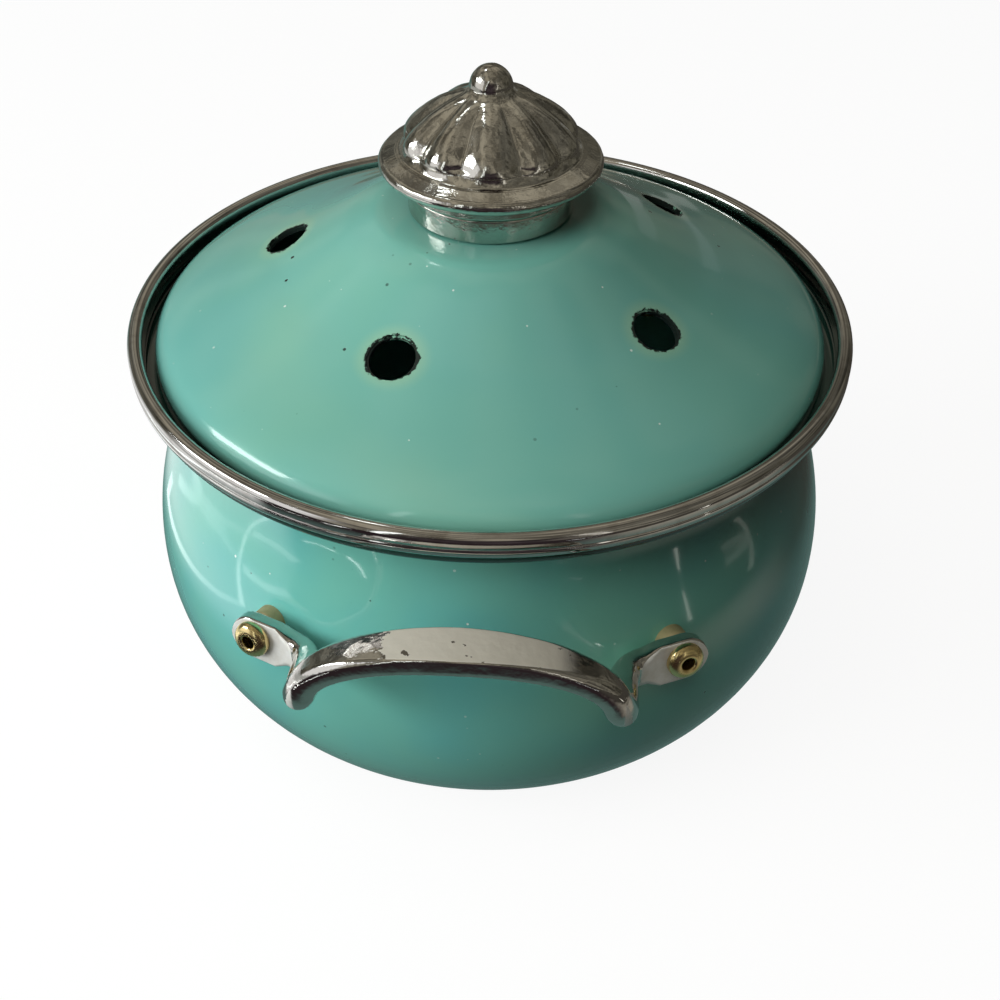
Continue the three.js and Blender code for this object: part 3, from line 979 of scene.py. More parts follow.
@dataclass
class PotBody:
    """The pressed shell: a flat base, a full belly, a neck, a flare and an upright lip."""

    base_radius: float = 0.044
    belly_radius: float = 0.0803
    belly_height: float = 0.0415
    neck_radius: float = 0.0706
    neck_height: float = 0.084
    belly_pull_share: float = 0.5
    neck_pull_share: float = 0.25
    flare_radius: float = 0.006
    lip_radius: float = 0.079
    lip_corner: float = 0.0022
    lip_top: float = 0.097
    sides: int = 240
    wall_steps: int = 26
    bend_steps: int = 9

    def outline(self, depth: float, wall_steps: int, bend_steps: int) -> Outline:
        """The wall from the middle of the base to the top of the lip.

        Args:
            depth: How far it is set in from the outer face.
            wall_steps: Steps on each half of the belly.
            bend_steps: Steps on each small bend.

        Returns:
            The points of the wall.
        """
        belly = (self.belly_radius - depth, self.belly_height)
        neck = (self.neck_radius - depth, self.neck_height)
        rise = self.neck_height - self.belly_height
        upper = [belly, (belly[0], belly[1] + rise * self.belly_pull_share),
                 (neck[0], neck[1] - rise * self.neck_pull_share), neck]
        flare = self.flare_radius + depth
        corner = self.lip_corner - depth
        flare_centre = (self.neck_radius + self.flare_radius, self.neck_height)
        corner_centre = (self.lip_radius - self.lip_corner,
                         self.neck_height + self.flare_radius + self.lip_corner)
        return [
            (0, depth),
            *arc((self.base_radius, self.belly_height), belly[0] - self.base_radius,
                 self.belly_height - depth, -QUARTER, 0, wall_steps),
            *(tuple(bezier(upper, i / wall_steps)) for i in range(1, wall_steps + 1)),
            *arc(flare_centre, flare, flare, math.pi, QUARTER, bend_steps)[1:],
            *arc(corner_centre, corner, corner, -QUARTER, 0, bend_steps),
            (self.lip_radius - depth, self.lip_top),
        ]

    def fine(self, depth: float) -> Outline:
        """The wall at a depth, in fine steps."""
        return self.outline(depth, self.wall_steps, self.bend_steps)

    def build(self, finishes: Finishes, stacks: Sequence[RivetStack]) -> None:
        """Turns the shell, drills its rivet holes and dresses it.

        Args:
            finishes: The object's materials.
            stacks: The rivet stacks that pass through the wall.
        """
        shell = turned("shell", [*self.fine(0), *reversed(self.fine(SHEET))], self.sides)
        cut(shell, [stack.drill() for stack in stacks])
        finished(shell, "pot_body", Body.POT, Slot.ENAMEL, finishes.pot_enamel, math.radians(40))


@dataclass
class RimBand:
    """The polished steel band rolled over the lip, a U in section."""

    wall: float = 0.0007
    edge_round: float = 0.0003
    crease_share: float = 0.58
    crease_depth: float = 0.00016
    bulge: float = 0.00016
    sides: int = 240
    crown_steps: int = 24

    def build(self, finishes: Finishes) -> None:
        """Turns the band from the size of its node and dresses it.

        Args:
            finishes: The object's materials.
        """
        low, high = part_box("rim_band")
        outer, top, bottom = high.x, high.z, low.z
        inner = PotBody.lip_radius - SHEET - SEAT_GAP - self.wall
        middle, round_ = (outer + inner) / 2, (outer - inner) / 2
        level = bottom + self.edge_round
        shoulder = top - round_
        crease = level + (shoulder - level) * self.crease_share
        skirt = [(outer - self.bulge, level), (outer - self.bulge / 4, (2 * level + crease) / 3),
                 (outer, (level + 2 * crease) / 3), (outer - self.bulge, crease - self.crease_depth)]
        outline = [
            *arc((middle, shoulder), round_, round_, 0, math.pi, self.crown_steps),
            *arc((inner + self.wall / 2, level), self.wall / 2, self.edge_round, math.pi,
                 math.tau, 4),
            *arc((middle, shoulder), round_ - self.wall, round_ - self.wall, math.pi, 0,
                 self.crown_steps),
            *arc((outer - (self.wall + self.bulge) / 2, level), (self.wall - self.bulge) / 2,
                 self.edge_round, math.pi, math.tau, 4)[:-1],
            *smooth_curve(skirt, 12),
            (outer - self.crease_depth, crease),
            (outer - self.bulge / 2, crease + self.crease_depth),
            (outer, shoulder),
        ]
        band = turned("band", outline, self.sides)
        finished(band, "rim_band", Body.POT, Slot.RIM_STEEL, finishes.rim_steel, math.radians(45))


# The lid and its knob


@dataclass
class Lid:
    """The pressed lid: a skirt, a rounded shoulder, a cone, a flat boss and five vents."""

    boss_radius: float = 0.0225
    screw_hole: float = 0.0023
    sides: int = 240
    steps: int = 74
    vents: VentRing = field(default_factory=VentRing)
    chip_sides: int = 54
    chip_depth: float = 0.00045
    hole_share: float = 0.93
    wave: float = 0.00016
    wave_reach: float = 0.034

    def keys(self) -> Outline:
        """The lid's outer curve from skirt to boss.

        Returns:
            The key points of the curve.
        """
        low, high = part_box("lid_shell")
        curve_shares = [
            (0, 0.08), (0.008, 0.135), (0.031, 0.191), (0.072, 0.244), (0.146, 0.312),
            (0.243, 0.386), (0.359, 0.471), (0.466, 0.555), (0.565, 0.635), (0.67, 0.734),
            (0.767, 0.83), (0.845, 0.906), (0.913, 0.96), (0.96, 0.99), (1, 1),
        ]
        reach, rise = high.x - self.boss_radius, high.z - low.z
        return [(high.x - reach * inwards, low.z + rise * up) for inwards, up in curve_shares]

    def slope_at(self, curve: Outline, radius: float) -> tuple[float, float]:
        """The curve's height and slope at a radius.

        Args:
            curve: The lid's outer curve.
            radius: Where it is looked at.

        Returns:
            The height, and the slope in radians.
        """
        outer, inner = next((a, b) for a, b in pairwise(curve) if a[0] > radius >= b[0])
        share = (outer[0] - radius) / (outer[0] - inner[0])
        height = outer[1] + (inner[1] - outer[1]) * share
        return height, math.atan2(inner[1] - outer[1], outer[0] - inner[0])

    def vent_tools(self, curve: Outline) -> list[bpy.types.Object]:
        """The punch and the ragged chip ring of each vent.

        Args:
            curve: The lid's outer curve.

        Returns:
            The tools that cut the vents.
        """
        height, slope = self.slope_at(curve, self.vents.ring)
        tools = []
        for i in range(self.vents.count):
            chance = random.Random(40 + i)
            turn = Matrix.Rotation(self.vents.turn + i * math.tau / self.vents.count, 4, "Z")
            place = turn @ Matrix.Translation((self.vents.ring, 0, height))
            place = place @ Matrix.Rotation(slope, 4, "Y")
            punch = rod("punch", self.vents.radius * self.hole_share, -4 * SHEET, 4 * SHEET,
                        self.chip_sides)
            chips = rod("chips", self.vents.radius, -self.chip_depth, 4 * SHEET, self.chip_sides)
            bites = [chance.choice((-0.2, 0.0, 0.05, 0.3)) * chance.uniform(0.4, 1.0)
                     for _ in range(self.chip_sides)]
            for vertex in chips.data.vertices:
                around = math.atan2(vertex.co.y, vertex.co.x) % math.tau
                bite = bites[round(around / math.tau * self.chip_sides) % self.chip_sides]
                scale = 1 + bite * 0.0008 / self.vents.radius
                vertex.co = Vector((vertex.co.x * scale, vertex.co.y * scale, vertex.co.z))
            tools += [placed(punch, place), placed(chips, place)]
        return tools

    def build(self, finishes: Finishes) -> None:
        """Turns the lid, punches its vents and dresses it.

        Args:
            finishes: The object's materials.
        """
        low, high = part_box("lid_shell")
        curve = smooth_curve(self.keys(), self.steps)
        top = [*curve, ((self.boss_radius + self.screw_hole) / 2, high.z), (self.screw_hole, high.z)]
        under = set_in(top, SHEET)
        outline = [(high.x, low.z), *top, *reversed(under), (high.x - SHEET, low.z), (high.x, low.z)]
        shell = turned("lid", outline, self.sides)
        cut(shell, self.vent_tools(curve))
        finished(shell, "lid_shell", Body.LID, Slot.ENAMEL, finishes.lid_enamel, math.radians(40))


@dataclass
class Knob:
    """The spun collar, the fluted knob, and the screw and washer that hold them."""

    collar_wall: float = 0.0012
    edge_round: float = 0.0004
    foot_radius: float = 0.0181
    foot_height: float = 0.0024
    flange_radius: float = 0.0234
    flange_rise: float = 0.0051
    flange_round: float = 0.0014
    brim_radius: float = 0.02
    brim_rise: float = 0.0073
    dome_radius: float = 0.0186
    dome_base: float = 0.0089
    dome_top: float = 0.0197
    bead_radius: float = 0.0044
    bead_rise: float = 0.0052
    lobes: int = 10
    groove_depth: float = 0.0021
    groove_softness: float = 0.13
    lobe_waver: float = math.radians(2.2)
    turn: float = math.radians(3.45)
    wall: float = 0.0026
    stem_radius: float = 0.005
    screw_hole: float = 0.0023
    screw_radius: float = 0.002
    screw_bite: float = 0.009
    screw_head_round: float = 0.0009
    screw_slot_width: float = 0.001
    screw_slot_depth: float = 0.0011
    sides: int = 240

    def build_collar(self, finishes: Finishes) -> None:
        """Turns the collar and dresses it.

        Args:
            finishes: The object's materials.
        """
        low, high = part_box("knob_collar")
        edge = self.edge_round
        outline = [
            (self.screw_hole, low.z),
            *arc((high.x - edge, low.z + edge), edge, edge, -QUARTER, 0, 4),
            *arc((high.x - edge, high.z - edge), edge, edge, 0, QUARTER, 4),
            (high.x - self.collar_wall, high.z),
            (high.x - self.collar_wall, low.z + self.collar_wall),
            (self.screw_hole, low.z + self.collar_wall),
            (self.screw_hole, low.z),
        ]
        collar = turned("collar", outline, self.sides // 2)
        finished(collar, "knob_collar", Body.LID, Slot.KNOB_CHROME, finishes.knob_chrome,
                 math.radians(50))

    def outline(self) -> tuple[Outline, float, float]:
        """The knob's profile.

        Returns:
            The points, and the heights where the dome starts and ends.
        """
        stem_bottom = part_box("lid_knob")[0].z
        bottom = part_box("knob_collar")[1].z + SEAT_GAP
        flange = bottom + self.flange_rise
        dome, crest = bottom + self.dome_base, bottom + self.dome_top
        rise = self.dome_top - self.dome_base
        dome_shares = [(1.0, 0.04), (0.985, 0.16), (0.905, 0.34), (0.77, 0.54), (0.61, 0.73),
                       (0.44, 0.88), (0.33, 0.955), (0.27, 1.015)]
        dome_keys = [(self.dome_radius * r, dome + rise * h) for r, h in dome_shares]
        bead_centre = crest + self.bead_rise - self.bead_radius
        bore = self.foot_radius - self.wall
        edge = self.edge_round
        brim = bottom + self.brim_rise
        fillet = [(self.brim_radius, brim), (self.brim_radius - edge, brim + edge / 4),
                  (self.dome_radius + edge / 2, brim + edge), (self.dome_radius - edge, dome)]
        points = [
            (0, stem_bottom + self.screw_bite),
            (self.screw_hole, stem_bottom + self.screw_bite),
            (self.screw_hole, stem_bottom),
            (self.stem_radius, stem_bottom),
            (self.stem_radius, dome),
            (bore, dome - self.wall),
            (bore, bottom),
            *arc((self.foot_radius - edge, bottom + edge), edge, edge, -QUARTER, 0, 4),
            *arc((self.foot_radius + edge, bottom + self.foot_height - edge), edge, edge, math.pi,
                 QUARTER, 4),
            *arc((self.flange_radius - self.flange_round, flange), self.flange_round,
                 self.flange_round, -QUARTER, QUARTER, 14),
            *smooth_curve([*fillet, *dome_keys, (self.bead_radius, bead_centre)], 96),
            *arc((0, bead_centre), self.bead_radius, self.bead_radius, 0, QUARTER, 18)[1:],
        ]
        return points, dome, crest

    def groove_share(self, height: float) -> float:
        """How deep a groove is at a height on the dome.

        Args:
            height: 0 at the dome's foot and 1 where the bead starts.

        Returns:
            The share of the full depth.
        """
        shares = [(-0.1, 0.0), (0.0, 0.35), (0.1, 0.9), (0.3, 1.0), (0.54, 0.95), (0.73, 0.75),
                  (0.88, 0.45), (1.02, 0.0)]
        for (low, first), (high, second) in pairwise(shares):
            if low <= height < high:
                return first + (second - first) * (height - low) / (high - low)
        return 0.0

    def build_knob(self, finishes: Finishes) -> None:
        """Turns the knob, presses its flutes in and dresses it.

        Args:
            finishes: The object's materials.
        """
        points, dome, crest = self.outline()
        knob = turned("knob", points, self.sides)
        inside = self.foot_radius - self.wall / 2

        def flute(place: Vector) -> Vector:
            """Draws a point of the dome in between the lobes."""
            radius = math.hypot(place.x, place.y)
            height = (place.z - dome) / (crest - dome)
            depth = self.groove_depth * self.groove_share(height)
            if not depth or (height < 0.02 and radius < inside):
                return place
            around = math.atan2(place.y, place.x) + QUARTER
            around -= self.lobe_waver * math.sin(3 * around)
            soft = self.groove_softness
            bottom = soft / math.hypot(1, soft)
            ridge = math.hypot(math.cos(around * self.lobes / 2), soft) / math.hypot(1, soft)
            scale = 1 - depth * (1 - ridge) / (1 - bottom) / radius
            return Vector((place.x * scale, place.y * scale, place.z))

        reshape(knob, flute)
        reshape(knob, waved(0.00012, 0.0055, Vector((3.0, 1.0, 7.0))))
        reshape(knob, waved(0.00004, 0.0016, Vector((8.0, 2.0, 5.0))))
        placed(knob, Matrix.Rotation(self.turn, 4, "Z"))
        finished(knob, "lid_knob", Body.LID, Slot.KNOB_CHROME, finishes.knob_chrome,
                 math.radians(50))

    def build_screw(self, finishes: Finishes) -> None:
        """Turns the slotted screw and its washer and dresses them.

        Args:
            finishes: The object's materials.
        """
        low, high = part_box("knob_washer")
        edge = self.edge_round / 2
        washer = turned("washer", [
            (self.screw_hole, low.z),
            *arc((high.x - edge, low.z + edge), edge, edge, -QUARTER, 0, 3),
            *arc((high.x - edge, high.z - edge), edge, edge, 0, QUARTER, 3),
            (self.screw_hole, high.z), (self.screw_hole, low.z)], 96)
        finished(washer, "knob_washer", Body.LID, Slot.ZINC_PLATE, finishes.zinc_plate,
                 math.radians(50))
        low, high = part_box("knob_screw")
        head_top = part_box("knob_washer")[0].z - SEAT_GAP
        round_ = self.screw_head_round
        screw = turned("screw", [
            (0, low.z),
            *arc((high.x - round_, low.z + round_), round_, round_, -QUARTER, 0, 8),
            (high.x, head_top), (self.screw_radius, head_top), (self.screw_radius, high.z),
            (0, high.z)], 96)
        clear_selection()
        bpy.ops.mesh.primitive_cube_add(size=1, location=(0, 0, low.z), scale=(
            3 * high.x, self.screw_slot_width, 2 * self.screw_slot_depth))
        cut(screw, [bpy.context.object])
        finished(screw, "knob_screw", Body.LID, Slot.ZINC_PLATE, finishes.zinc_plate,
                 math.radians(40))

    def build(self, finishes: Finishes) -> None:
        """Builds the four pieces.

        Args:
            finishes: The object's materials.
        """
        self.build_collar(finishes)
        self.build_knob(finishes)
        self.build_screw(finishes)


# The handles and their rivets


@dataclass
class RivetStack:
    """One rivet with its spacer and burr, and where it passes through the wall."""

    end: str
    hand: str
    height: float = 0.0599
    spread: float = math.radians(31.7)
    heading: float = math.radians(24)
    lean: float = math.radians(10)
    radius: float = 0.0022
    bore: float = 0.0014
    bore_round: float = 0.0005
    head_radius: float = 0.0039
    head_height: float = 0.0023
    dish_share: float = 0.75
    clinch_radius: float = 0.0035
    clinch_height: float = 0.001
    spacer_radius: float = 0.0037
    spacer_length: float = 0.0024
    spacer_edge: float = 0.0005
    burr_radius: float = 0.0044
    burr_thickness: float = 0.0008
    ear_thickness: float = 0.003
    solid_wall_steps: int = 6
    solid_bend_steps: int = 3
    sides: int = 64

    @property
    def side(self) -> int:
        """-1 for the left rivet and 1 for the right one, seen from outside its end."""
        return 1 if self.hand == "right" else -1

    @property
    def half_turn(self) -> Matrix:
        """The turn that takes the front end to this end."""
        return Matrix.Rotation(math.pi if self.end == "rear" else 0.0, 4, "Z")

    @property
    def hole(self) -> float:
        """The radius of the holes that the rivet passes through."""
        return self.radius + SEAT_GAP

    @property
    def spacer_end(self) -> float:
        """Where the spacer ends, along the rivet from the wall."""
        return SEAT_GAP + self.spacer_length

    @property
    def ear_start(self) -> float:
        """Where the ear starts."""
        return self.spacer_end + SEAT_GAP

    def level(self, angle: float) -> Vector:
        """A level direction outwards at an angle from the front."""
        return Vector((self.side * math.sin(angle), -math.cos(angle), 0.0))

    def wall_here(self) -> tuple[float, float]:
        """The wall of the solids at the rivet.

        Returns:
            Its radius, and how far its normal leans up.
        """
        wall = PotBody().outline(0, self.solid_wall_steps, self.solid_bend_steps)
        low, high = next((a, b) for a, b in pairwise(wall) if b[1] > self.height >= a[1])
        radius = low[0] + (high[0] - low[0]) * (self.height - low[1]) / (high[1] - low[1])
        return radius, math.atan2(low[0] - high[0], high[1] - low[1])

    def axis(self) -> Vector:
        """The rivet's outward axis at the front end."""
        return self.level(self.heading) * math.cos(self.lean) + UP * math.sin(self.lean)

    def inwards(self) -> Vector:
        """The way along the ear towards the grip, at the front end."""
        return UP.cross(self.level(self.heading)) * -self.side

    def foot(self) -> Vector:
        """Where the rivet meets the wall, at the front end."""
        place = self.level(self.spread) * self.wall_here()[0]
        place.z = self.height
        return place

    def stand_off(self) -> float:
        """How far the flat burr stands off the curved wall.

        Returns:
            The distance along the rivet.
        """
        radius, lean = self.wall_here()
        normal = self.level(self.spread) * math.cos(lean) + UP * math.sin(lean)
        return self.burr_radius * math.tan(self.axis().angle(normal)) + (
            self.burr_radius**2 / (2 * radius))

    def place(self) -> Matrix:
        """Where the stack goes: its axis on +Z moves to the rivet's axis."""
        turn = UP.rotation_difference(self.axis()).to_matrix().to_4x4()
        return self.half_turn @ Matrix.Translation(self.foot()) @ turn

    def drill(self) -> bpy.types.Object:
        """A rod that drills the wall and the ear at this rivet."""
        reach = self.ear_start + 2 * self.ear_thickness
        return placed(rod("drill", self.hole, -reach, reach, self.sides), self.place())

    def build(self, finishes: Finishes) -> None:
        """Turns the rivet, the spacer and the burr and dresses them.

        Args:
            finishes: The object's materials.
        """
        burr_end = -(SHEET + SEAT_GAP + self.stand_off())
        clinch_end = burr_end - self.burr_thickness - SEAT_GAP
        clinch_low = clinch_end - self.clinch_height
        head = self.ear_start + self.ear_thickness + SEAT_GAP
        crown = head + self.head_height * (1 - self.dish_share)
        crest = self.bore + self.bore_round
        edge = self.spacer_edge / 2
        rivet = turned("rivet", [
            (self.bore, clinch_low + self.clinch_height / 2),
            *arc(((self.bore + self.clinch_radius) / 2, clinch_end - self.clinch_height / 2),
                 (self.clinch_radius - self.bore) / 2, self.clinch_height / 2, math.pi, math.tau, 12),
            (self.clinch_radius, clinch_end), (self.radius, clinch_end), (self.radius, head),
            *arc((self.head_radius - edge, head + edge), edge, edge, -QUARTER, 0, 4),
            *arc((crest, crown), self.head_radius - crest, self.head_height * self.dish_share,
                 0, QUARTER, 16),
            *arc((crest, head + self.head_height - self.bore_round), self.bore_round,
                 self.bore_round, QUARTER, math.pi, 6)[1:],
            (self.bore, clinch_low + self.clinch_height / 2)], self.sides)
        burr = turned("burr", [
            (self.hole, burr_end - self.burr_thickness),
            (self.burr_radius, burr_end - self.burr_thickness), (self.burr_radius, burr_end),
            (self.hole, burr_end), (self.hole, burr_end - self.burr_thickness)], self.sides)
        edge = self.spacer_edge
        spacer = turned("spacer", [
            (self.hole, -4 * SHEET), (self.spacer_radius, -4 * SHEET),
            *arc((self.spacer_radius - edge, self.spacer_end - edge), edge, edge, 0, QUARTER, 5),
            (self.hole, self.spacer_end), (self.hole, -4 * SHEET)], self.sides)
        pot = PotBody()
        for tool, part in ((rivet, "rivet"), (burr, "burr"), (spacer, "spacer")):
            placed(tool, self.place())
            if part == "spacer":
                cut(tool, [turned("pot space", [*pot.fine(0), (0, pot.lip_top)], pot.sides)])
            brass = finishes.spacer_brass if part == "spacer" else finishes.rivet_brass
            finished(tool, f"{self.end}_{self.hand}_{part}", Body.POT, Slot.RIVET_BRASS, brass,
                     math.radians(40))


@dataclass(frozen=True)
class Section:
    """A rounded section: half sizes, then corner sizes above and below."""

    across: float
    up: float
    top_edge: tuple[float, float]
    bottom_edge: tuple[float, float]

    def towards(self, other: Section, share: float) -> Section:
        """A section between this one and another.

        Args:
            other: The other section.
            share: 0 for this section and 1 for the other.

        Returns:
            The section in between.
        """
        def mix(a: float, b: float) -> float:
            """A number between two numbers."""
            return a + (b - a) * share

        def mix_pair(a: tuple[float, float], b: tuple[float, float]) -> tuple[float, float]:
            """A pair between two pairs."""
            return mix(a[0], b[0]), mix(a[1], b[1])

        return Section(mix(self.across, other.across), mix(self.up, other.up),
                       mix_pair(self.top_edge, other.top_edge),
                       mix_pair(self.bottom_edge, other.bottom_edge))

    def ring(self, place: Vector, along: Vector, up: Vector, corner_points: int) -> list[Vector]:
        """The ring of points of this section, square to the handle's line.

        Args:
            place: The section's middle.
            along: The way of the line there.
            up: Roughly up.
            corner_points: How many points each corner has.

        Returns:
            The points.
        """
        across = along.cross(up).normalized()
        upright = across.cross(along).normalized()
        corners = [(1, 1, self.top_edge, 0.0), (-1, 1, self.top_edge, QUARTER),
                   (-1, -1, self.bottom_edge, 2 * QUARTER), (1, -1, self.bottom_edge, 3 * QUARTER)]
        ring = []
        for sideways, vertical, edge, start in corners:
            for i in range(corner_points):
                angle = start + QUARTER * i / (corner_points - 1)
                x = sideways * (self.across - edge[0]) + edge[0] * math.cos(angle)
                y = vertical * (self.up - edge[1]) + edge[1] * math.sin(angle)
                ring.append(place + across * x + upright * y)
        return ring


@dataclass
class Handle:
    """One cast handle: two flat ears, two arms, two round elbows and a flat-topped grip."""

    end: str
    ear_half_height: float = 0.0049
    ear_drop: float = 0.0008
    ear_tail: float = 0.0008
    ear_reach: float = 0.0123
    ear_edge: float = 0.0006
    knee_half_width: float = 0.0024
    knee_half_height: float = 0.0037
    knee_edge: float = 0.0018
    knee_set_back: float = 0.0004
    knee_bend: float = 0.0045
    elbow_reach: float = 0.0306
    elbow_out: float = 0.0918
    elbow_height: float = 0.0664
    elbow_bend: float = 0.004
    elbow_radius: float = 0.0031
    knee_end_share: float = 0.5
    elbow_start_share: float = 0.85
    grip_climb: float = math.radians(67)
    climb_pull_share: float = 0.3
    crown_pull_share: float = 0.41
    grip_out: float = 0.09257
    grip_height: float = 0.0817
    grip_half_width: float = 0.00446
    grip_half_height: float = 0.0025
    grip_edge: float = 0.0005
    flatten_power: float = 1.5
    corner_points: int = 7
    ear_steps: int = 10
    knee_steps: int = 8
    elbow_steps: int = 12
    grip_steps: int = 24

    def half(self, stack: RivetStack) -> list[tuple[Vector, Vector, Vector, Section]]:
        """The stations from the outer end of the right ear to the middle of the grip.

        Args:
            stack: The right rivet stack of the front end.

        Returns:
            For each station its place, its way along, its way up and its section.
        """
        ear = Section(stack.ear_thickness / 2, self.ear_half_height, (self.ear_edge,) * 2,
                      (self.ear_edge,) * 2)
        knee_section = Section(self.knee_half_width, self.knee_half_height,
                               (self.knee_edge,) * 2, (self.knee_edge,) * 2)
        round_section = Section(*(self.elbow_radius,) * 2, (self.elbow_radius,) * 2,
                                (self.elbow_radius,) * 2)
        grip = Section(self.grip_half_width, self.grip_half_height, (self.grip_edge,) * 2,
                       (self.grip_half_width / 2, self.grip_half_height))
        inwards, axis = stack.inwards(), stack.axis()
        ear_up = inwards.cross(axis).normalized()
        if ear_up.z < 0:
            ear_up.negate()
        middle = stack.ear_start + stack.ear_thickness / 2
        centre = stack.foot() + axis * middle - ear_up * self.ear_drop
        elbow = Vector((self.elbow_reach, -self.elbow_out, self.elbow_height))
        knee = centre + inwards * self.ear_reach - axis * self.knee_set_back
        arm_way = (elbow - knee).normalized()
        crown = Vector((0, -self.grip_out, self.grip_height))
        stations = []
        for i in range(1, self.ear_steps + 1):
            angle = QUARTER * i / self.ear_steps
            up = max(self.ear_half_height * math.sin(angle), self.ear_edge)
            place = centre - inwards * (self.ear_half_height * math.cos(angle) + self.ear_tail)
            stations.append((place, inwards, ear_up,
                             Section(ear.across, up, ear.top_edge, ear.bottom_edge)))
        stations.append((centre + inwards * self.ear_half_height, inwards, ear_up, ear))
        knee_curve = [knee - inwards * self.knee_bend, knee, knee + arm_way * self.knee_bend]
        climb = Vector((-math.cos(self.grip_climb), 0, math.sin(self.grip_climb)))
        elbow_curve = [elbow - arm_way * self.elbow_bend, elbow, elbow + climb * self.elbow_bend]
        start = elbow_curve[-1]
        span = start.x - crown.x
        grip_curve = [start, start + climb * span * self.climb_pull_share,
                      crown + Vector((span * self.crown_pull_share, 0, 0)), crown]
        legs = [
            (knee_curve, self.knee_steps, knee_section,
             knee_section.towards(round_section, self.knee_end_share)),
            (elbow_curve, self.elbow_steps,
             knee_section.towards(round_section, self.elbow_start_share), round_section),
            (grip_curve, self.grip_steps, round_section, grip),
        ]
        small = 0.001
        for curve, steps, before, after in legs:
            for i in range(1 if curve is grip_curve else 0, steps + 1):
                share = i / steps
                way = bezier(curve, min(share + small, 1)) - bezier(curve, max(share - small, 0))
                up = ear_up.lerp(UP, share).normalized() if curve is knee_curve else UP
                change = 1 - (1 - share)**self.flatten_power if curve is grip_curve else share
                stations.append((bezier(curve, share), way.normalized(), up,
                                 before.towards(after, change)))
        return stations

    def build(self, finishes: Finishes) -> None:
        """Lofts the casting, drills its ears and dresses it.

        Args:
            finishes: The object's materials.
        """
        right_stack, left_stack = RivetStack(self.end, "right"), RivetStack(self.end, "left")
        right = self.half(RivetStack("front", "right"))

        def mirrored(way: Vector) -> Vector:
            """The same on the left."""
            return Vector((-way.x, way.y, way.z))

        left = [(mirrored(place), -mirrored(along), mirrored(up), section)
                for place, along, up, section in reversed(right[:-1])]
        rings = [section.ring(place, along, up, self.corner_points)
                 for place, along, up, section in [*right, *left]]
        casting = placed(lofted("casting", rings), right_stack.half_turn)
        cut(casting, [right_stack.drill(), left_stack.drill()])
        reshape(casting, waved(0.00008, 0.007, Vector((1.0, 5.0, 2.0))))
        finished(casting, f"{self.end}_handle", Body.POT, Slot.HANDLE_CHROME,
                 finishes.handle_chrome, math.radians(35))


# The studio


@dataclass(frozen=True)
class GlowStrip:
    """A narrow bright strip that only gloss sees, as a lit edge in a room."""

    name: str
    points: tuple[tuple[float, float, float], ...]
    width: float
    glow: float
    colour: Colour = (0.94, 1.0, 0.99)
    flat: bool = False

    def build(self) -> None:
        """Lays the strip through its points, flat on the floor or facing the object."""
        places = [Vector(point) for point in self.points]
        last = len(places) - 1
        vertices = []
        for i, place in enumerate(places):
            along = places[min(i + 1, last)] - places[max(i - 1, 0)]
            across = along.cross(UP if self.flat else place).normalized() * self.width / 2
            vertices += [place - across, place + across]
        faces = [(2 * i, 2 * i + 1, 2 * i + 3, 2 * i + 2) for i in range(last)]
        mesh = bpy.data.meshes.new(self.name)
        mesh.from_pydata(vertices, [], faces)
        strip = bpy.data.objects.new(self.name, mesh)
        bpy.context.scene.collection.objects.link(strip)
        material = bpy.data.materials.new(self.name)
        material.use_nodes = True
        desk = NodeDesk(material.node_tree)
        desk.tree.nodes.clear()
        glow = desk.add("ShaderNodeEmission")
        glow.inputs["Color"].default_value = (*self.colour, 1)
        glow.inputs["Strength"].default_value = self.glow
        out = desk.add("ShaderNodeOutputMaterial")
        desk.feed(out.inputs["Surface"], glow.outputs[0])
        mesh.materials.append(material)
        for_gloss_only(strip)


def for_gloss_only(thing: bpy.types.Object) -> None:
    """Hides a part of the studio from all but gloss."""
    thing.visible_camera = False
    thing.visible_shadow = False
    thing.visible_diffuse = False


def sky_point(azimuth: float, elevation: float, distance: float = 1.0) -> tuple[float, float, float]:
    """A place in a direction from the middle of the object.

    Args:
        elevation: Above the horizon, in degrees.
        distance: How far away, in metres.

    Returns:
        The place.
    """
    middle = (CAD_BOX[0] + CAD_BOX[1]) / 2
    return tuple(middle + direction(azimuth, elevation) * distance)


